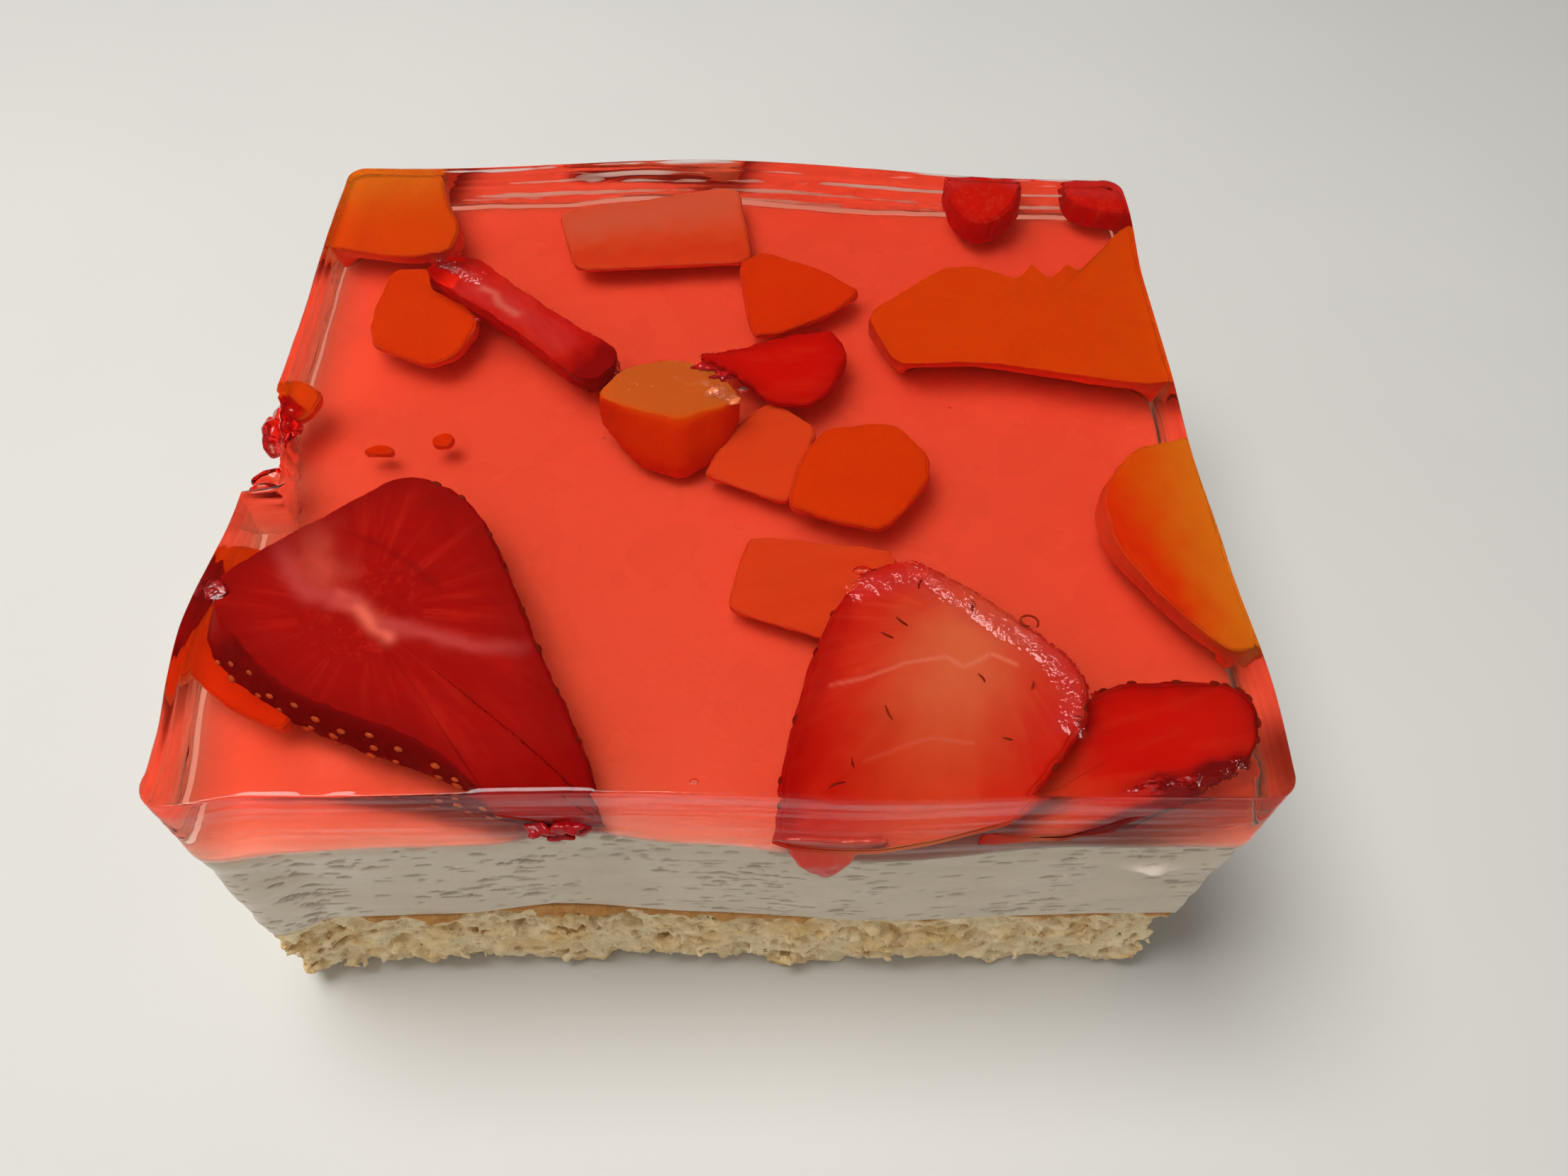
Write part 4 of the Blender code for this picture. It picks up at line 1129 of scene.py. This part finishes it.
def makeTip(material):
    points = spreadEvenly(cutCorners(np.array(tip["outline"], float), 0.25, 3), tip["spacing"])
    outs = outwards(points)
    points = points + outs * ripples(np.column_stack([points, points[:, 0] * 0]), tip["edgeWaves"])[:, None]
    centre = points.mean(axis=0)
    rim = tip["round"]
    # share of the way out, inset, share of the thickness
    plan = [(f, rim, 0.0) for f in np.linspace(0, 0.95, 14)]
    plan += [(1.0, rim * (1 - math.sin(a)), 0.5 - 0.5 * math.cos(a)) for a in np.linspace(0, math.pi, 9)]
    plan += [(f, rim, 1.0) for f in np.linspace(0.97, 0, 30)]
    bendFrom = tip["hangBelow"] - 3.2
    rings, paper = [], []
    for f, inset, share in plan:
        flat = centre + (points - outs * inset - centre) * f
        x, z = flat[:, 0], flat[:, 1]
        hang = np.where(z > bendFrom, bump(np.minimum(z, tip["hangBelow"] + 9), bendFrom, 3.2), 1.0)
        y = front - knifeReach("front", x) + 0.05 + tip["thick"] * (1 - share) - tip["hangOut"] * hang
        rough = ripples(np.column_stack([x, z, np.full_like(x, 3.0)]), tip["faceWaves"]) * share
        rings.append(np.column_stack([x, y - rough * hang, z]))
        paper.append(np.column_stack([x, z, np.zeros_like(x)]))
    rings, paper = np.array(rings), np.array(paper)
    fan = np.stack([paper[..., 0] * 0.9, paper[..., 1] * 0.3, paper[..., 1] * 0.1], -1)
    none = np.zeros(rings.shape[:2])
    paints = {"fan": fan, "skin": none, "haze": none, "vein": none,
              "pale": strokeStrength(paper, tip["pale"]), "dark": strokeStrength(paper, tip["dark"])}
    settle(closedSkin("strawberry_tip", rings, material, paints))
    print("tip", rings.shape)


# seeds, hairs, bubbles, torn scraps and crumbs of jelly

smallThings = {
    "seed": (0.52, 0.32, 0.26),  # half sizes along, across and out of the skin
    "hairs": ((16.5, -26.0), (15.0, -27.5), (23.5, -24.5), (23.5, -32.5), (14.5, -36.0), (11.0, -41.0),
              (18.5, -21.5), (28.0, -33.5), (25.0, -39.0), (9.5, -43.0)),
    "hairHeight": 46.6,
    "hairLength": (0.9, 1.7),
    "hairRadius": 0.12,
    "loop": (28.6, -26.6, 47.2),
    # place and radius, pressed flat by these factors
    "bubbles": ((13.0, -20.0, 46.2, 0.75), (-30.1, 16.5, 46.0, 0.4), (-3.0, -42.6, 45.0, 0.35),
                (-14.0, -2.0, 45.5, 0.2), (24.0, 3.0, 45.8, 0.18), (1.0, 4.6, 47.1, 0.45),
                (31.6, -37.1, 47.2, 0.35)),
    "bubbleShape": (1.25, 0.8, 0.6),
    # place and half sizes
    "skinScraps": ((-49.9, -22.2, 44.9, 0.8, 0.7, 0.5), (-16.8, front - 0.2, 40.7, 1.5, 0.6, 0.6),
                   (-14.4, front - 0.3, 41.4, 1.3, 0.6, 0.6), (-15.4, front - 0.3, 40.0, 1.6, 0.5, 0.5),
                   (-13.2, front - 0.1, 40.6, 0.8, 0.5, 0.6), (-3.4, 8.3, 46.6, 1.4, 0.8, 0.6),
                   (-1.4, 6.9, 46.7, 1.1, 0.8, 0.6)),
    "heartScraps": ((-1.8, 4.3, 46.7, 1.3, 0.9, 0.5), (-0.1, 3.2, 46.7, 0.9, 0.9, 0.5)),
    "jellyCrumbs": ((-49.6, 1.8, 42.8, 2.2, 3.2, 2.4), (-49.2, -6.2, 43.0, 1.9, 1.5, 1.5),
                    (-48.8, -8.4, 44.4, 1.7, 1.0, 0.8)),
    # how far their skins swell, as a share of their size, and the waves to the millimetre
    "scrapWaves": (0.8, 1.3),
    "crumbWaves": (0.5, 0.7),
    "crumbDensity": 1200.0,  # syrupy crumbs are dark for their size
}
seedRandom = random.Random(11)


def finishBmesh(bm, name, material):
    # turns a bmesh in millimetres into a placed piece
    bmesh.ops.translate(bm, verts=bm.verts, vec=place)
    bmesh.ops.scale(bm, verts=bm.verts, vec=(mm, mm, mm))
    mesh = bpy.data.meshes.new(name)
    bm.to_mesh(mesh)
    bm.free()
    mesh.shade_smooth()
    mesh.materials.append(material)
    piece = bpy.data.objects.new(name, mesh)
    scene.collection.objects.link(piece)
    return piece


def addBall(bm, spot, halves, turn=None, rounds=None):
    # a ball pressed to the given half sizes; with rounds an even net of triangles, otherwise a small seed
    turned = turn.to_matrix().to_4x4() if turn else Matrix()
    matrix = Matrix.Translation(spot) @ turned @ Matrix.Diagonal((*halves, 1))
    if rounds:
        return bmesh.ops.create_icosphere(bm, subdivisions=rounds, radius=1, matrix=matrix)["verts"]
    return bmesh.ops.create_uvsphere(bm, u_segments=7, v_segments=5, radius=1, matrix=matrix)["verts"]


def makeSeeds(husks, pale, material):
    bm = bmesh.new()
    for spot, out, size, isPale in husks:
        if isPale != pale:
            continue
        turn = Vector((out[0], out[1], 0.25)).to_track_quat("Z", "X")
        along, across, deep = smallThings["seed"]
        addBall(bm, Vector(spot), (across * size, along * size, deep * size), turn)
    piece = finishBmesh(bm, "strawberry_seeds" if pale else "strawberry_husks", material)
    settle(piece)


def addHair(bm, path, radius):
    # thin thread through the given spots, closed at both ends
    ring = None
    for i, spot in enumerate(path):
        ahead = (path[min(i + 1, len(path) - 1)] - path[max(i - 1, 0)]).normalized()
        taper = radius * (0.5 if i in (0, len(path) - 1) else 1.0)
        matrix = Matrix.Translation(spot) @ ahead.to_track_quat("Z", "Y").to_matrix().to_4x4()
        made = bmesh.ops.create_circle(bm, cap_ends=i in (0, len(path) - 1), segments=6, radius=taper,
                                       matrix=matrix)
        edges = list({edge for vert in made["verts"] for edge in vert.link_edges})
        if ring:
            bmesh.ops.bridge_loops(bm, edges=ring + edges)
        ring = edges


def makeHairs(material):
    bm = bmesh.new()
    for x, y in smallThings["hairs"]:
        length = seedRandom.uniform(*smallThings["hairLength"])
        angle = seedRandom.uniform(0, math.pi)
        bend = seedRandom.uniform(-0.5, 0.5)
        rise = 0.085 * (x - 17.0) - 0.5
        start = Vector((x, y, smallThings["hairHeight"] + rise))
        path = [
            start + Vector((math.cos(angle + bend * t), math.sin(angle + bend * t), 0.15 * t)) * length * t
            for t in (-0.5, -0.2, 0.1, 0.5)]
        addHair(bm, path, smallThings["hairRadius"])
    loop = Vector(smallThings["loop"])
    path = [loop + Vector((math.cos(t) * 0.9, math.sin(t) * 0.75, 0.1 * t))
            for t in np.linspace(-0.8, 4.6, 12)]
    addHair(bm, path, smallThings["hairRadius"])
    bmesh.ops.recalc_face_normals(bm, faces=bm.faces)
    settle(finishBmesh(bm, "strawberry_hairs", material))


def makeBubbles(material):
    bm = bmesh.new()
    for x, y, z, radius in smallThings["bubbles"]:
        addBall(bm, Vector((x, y, z)), [radius * factor for factor in smallThings["bubbleShape"]], None, 3)
    settle(finishBmesh(bm, "air_bubbles", material))


def makeScraps(name, places, waves, material):
    # wet scraps that the knife pulled out: balls with an uneven skin
    swell, perMm = waves
    bm = bmesh.new()
    for x, y, z, *halves in places:
        centre = Vector((x, y, z))
        for vert in addBall(bm, centre, halves, None, 4):
            vert.co += (vert.co - centre) * swell * noise.noise(vert.co * perMm)
    settle(finishBmesh(bm, name, material))


# light, floor and camera

studio = {
    "floor": 1.2,
    "lampPlace": (-0.17, 0.01, 0.58),
    "lampSize": 0.34,
    "lampWatts": 3.95,
    "skyFront": 0.4,
    "skyBack": 0.06,
    "skySide": 0.4,  # how much brighter the room is on the left than in the middle
    "skyColour": (1.0, 0.985, 0.96, 1.0),
    "lens": 26.77,
    "eye": (1.4, -89.5, 138.6),
    "tilt": (36.19, -1.73, -0.85),
}


def makeStudio(material):
    bm = bmesh.new()
    bmesh.ops.create_grid(bm, x_segments=1, y_segments=1, size=studio["floor"])
    mesh = bpy.data.meshes.new("floor")
    bm.to_mesh(mesh)
    bm.free()
    mesh.materials.append(material)
    floor = bpy.data.objects.new("floor", mesh)
    scene.collection.objects.link(floor)
    lamp = bpy.data.lights.new("window", "AREA")
    lamp.shape = "DISK"
    lamp.size = studio["lampSize"]
    lamp.energy = studio["lampWatts"]
    window = bpy.data.objects.new("window", lamp)
    window.location = studio["lampPlace"]
    window.rotation_euler = (-Vector(studio["lampPlace"])).to_track_quat("-Z", "Y").to_euler()
    scene.collection.objects.link(window)
    world = bpy.data.worlds.new("room")
    world.use_nodes = True
    tree = world.node_tree
    spot = addNode(tree, "ShaderNodeTexCoord", None, "Generated")
    x, y = addNode(tree, "ShaderNodeSeparateXYZ", {0: spot}).node.outputs[:2]
    # the room is dim behind the piece, so that its wet top doesn't mirror it as a grey veil
    level = addNode(tree, "ShaderNodeMapRange", {
        "Value": y, "From Min": -0.3, "From Max": 0.45, "To Min": studio["skyFront"],
        "To Max": studio["skyBack"]}, interpolation_type="SMOOTHSTEP")
    tilt = addNode(tree, "ShaderNodeMapRange", {
        "Value": x, "From Min": -1.0, "To Min": 1 + studio["skySide"], "To Max": 1 - studio["skySide"]})
    glow = addNode(tree, "ShaderNodeMath", {0: level, 1: tilt}, operation="MULTIPLY")
    plug(tree.nodes["Background"], {"Strength": glow, "Color": studio["skyColour"]})
    scene.world = world
    lens = bpy.data.cameras.new("camera")
    lens.sensor_width = 36.0
    lens.lens = studio["lens"]
    lens.clip_start = 0.001
    camera = bpy.data.objects.new("camera", lens)
    camera.location = (np.array(studio["eye"]) + place) * mm
    camera.rotation_euler = [math.radians(angle) for angle in studio["tilt"]]
    scene.collection.objects.link(camera)
    scene.camera = camera
    print("light, floor and camera")


# plain paper, matt as it comes from the roll
makeStudio(mottledMaterial("Paper Matt Plain", {"Roughness": 0.85, "IOR": 1.45, "Specular IOR Level": 0.1},
                           60.0, 3.0, "#C9C7C2", "#CFCDC7"))
makeSponge(spongeMaterial())
makeCheese(cheeseMaterial())
makeJelly(jellyMaterial("Gelatine Jelly Set Clear", jelly["density"]))

# flesh, veins, heart and haze of the cut berries; the torn ones are wet and shine
berry = strawberryMaterial("Strawberry Flesh Fresh Cut", "#D21804", "#E04A2A", "#E07046", "#CC4040")
darkBerry = strawberryMaterial("Strawberry Flesh Deep Red Cut", "#AC0E04", "#D8301C", "#FA9078", "#D05A58")
wetBerry = strawberryMaterial("Strawberry Flesh Torn Wet", "#D0200E", "#E04A2A", "#E07046", "#D24C50", True)
tornSkin = strawberryMaterial("Strawberry Skin Torn Wet", "#A00A10", "#7A0A10", "#E07046", "#D24C50", True)
tornHeart = strawberryMaterial("Strawberry Heart Torn Wet", "#D4703E", "#E09468", "#E07046", "#D24C50", True)
kinds = {"peach": peachMaterial(), "pear": paleFruitMaterial(), "strawberry": berry}
materials = {name: kinds[spec["kind"]] for name, spec in fruit.items()}
materials["strawberry_front_left"] = darkBerry
husks = []
makeFruit(materials, husks)
makeTip(wetBerry)

# strawberry seeds as they grow: hard, pale orange, with a dull shine
seed = mottledMaterial(
    "Strawberry Seed Dry Husk", {"Roughness": 0.4, "IOR": 1.45}, 3.0, 2.0, "#B2541C", "#D08038")
# the withered hairs and husks on a strawberry: dark brown and thin
hair = mottledMaterial(
    "Strawberry Hair Withered", {"Roughness": 0.5, "IOR": 1.45, "Specular IOR Level": inJelly}, 2.0, 2.0,
    "#701408", "#9A3014")
makeSeeds(husks, True, seed)
makeSeeds(husks, False, hair)
makeHairs(hair)
makeScraps("strawberry_scraps", smallThings["skinScraps"], smallThings["scrapWaves"],
           tornSkin)
makeScraps("strawberry_heart_scraps", smallThings["heartScraps"],
           smallThings["scrapWaves"], tornHeart)
makeBubbles(airMaterial())
syrupy = jellyMaterial("Gelatine Jelly Crumb Syrupy", smallThings["crumbDensity"])
makeScraps("jelly_crumbs", smallThings["jellyCrumbs"], smallThings["crumbWaves"], syrupy)
print("seeds, hairs, scraps and bubbles")
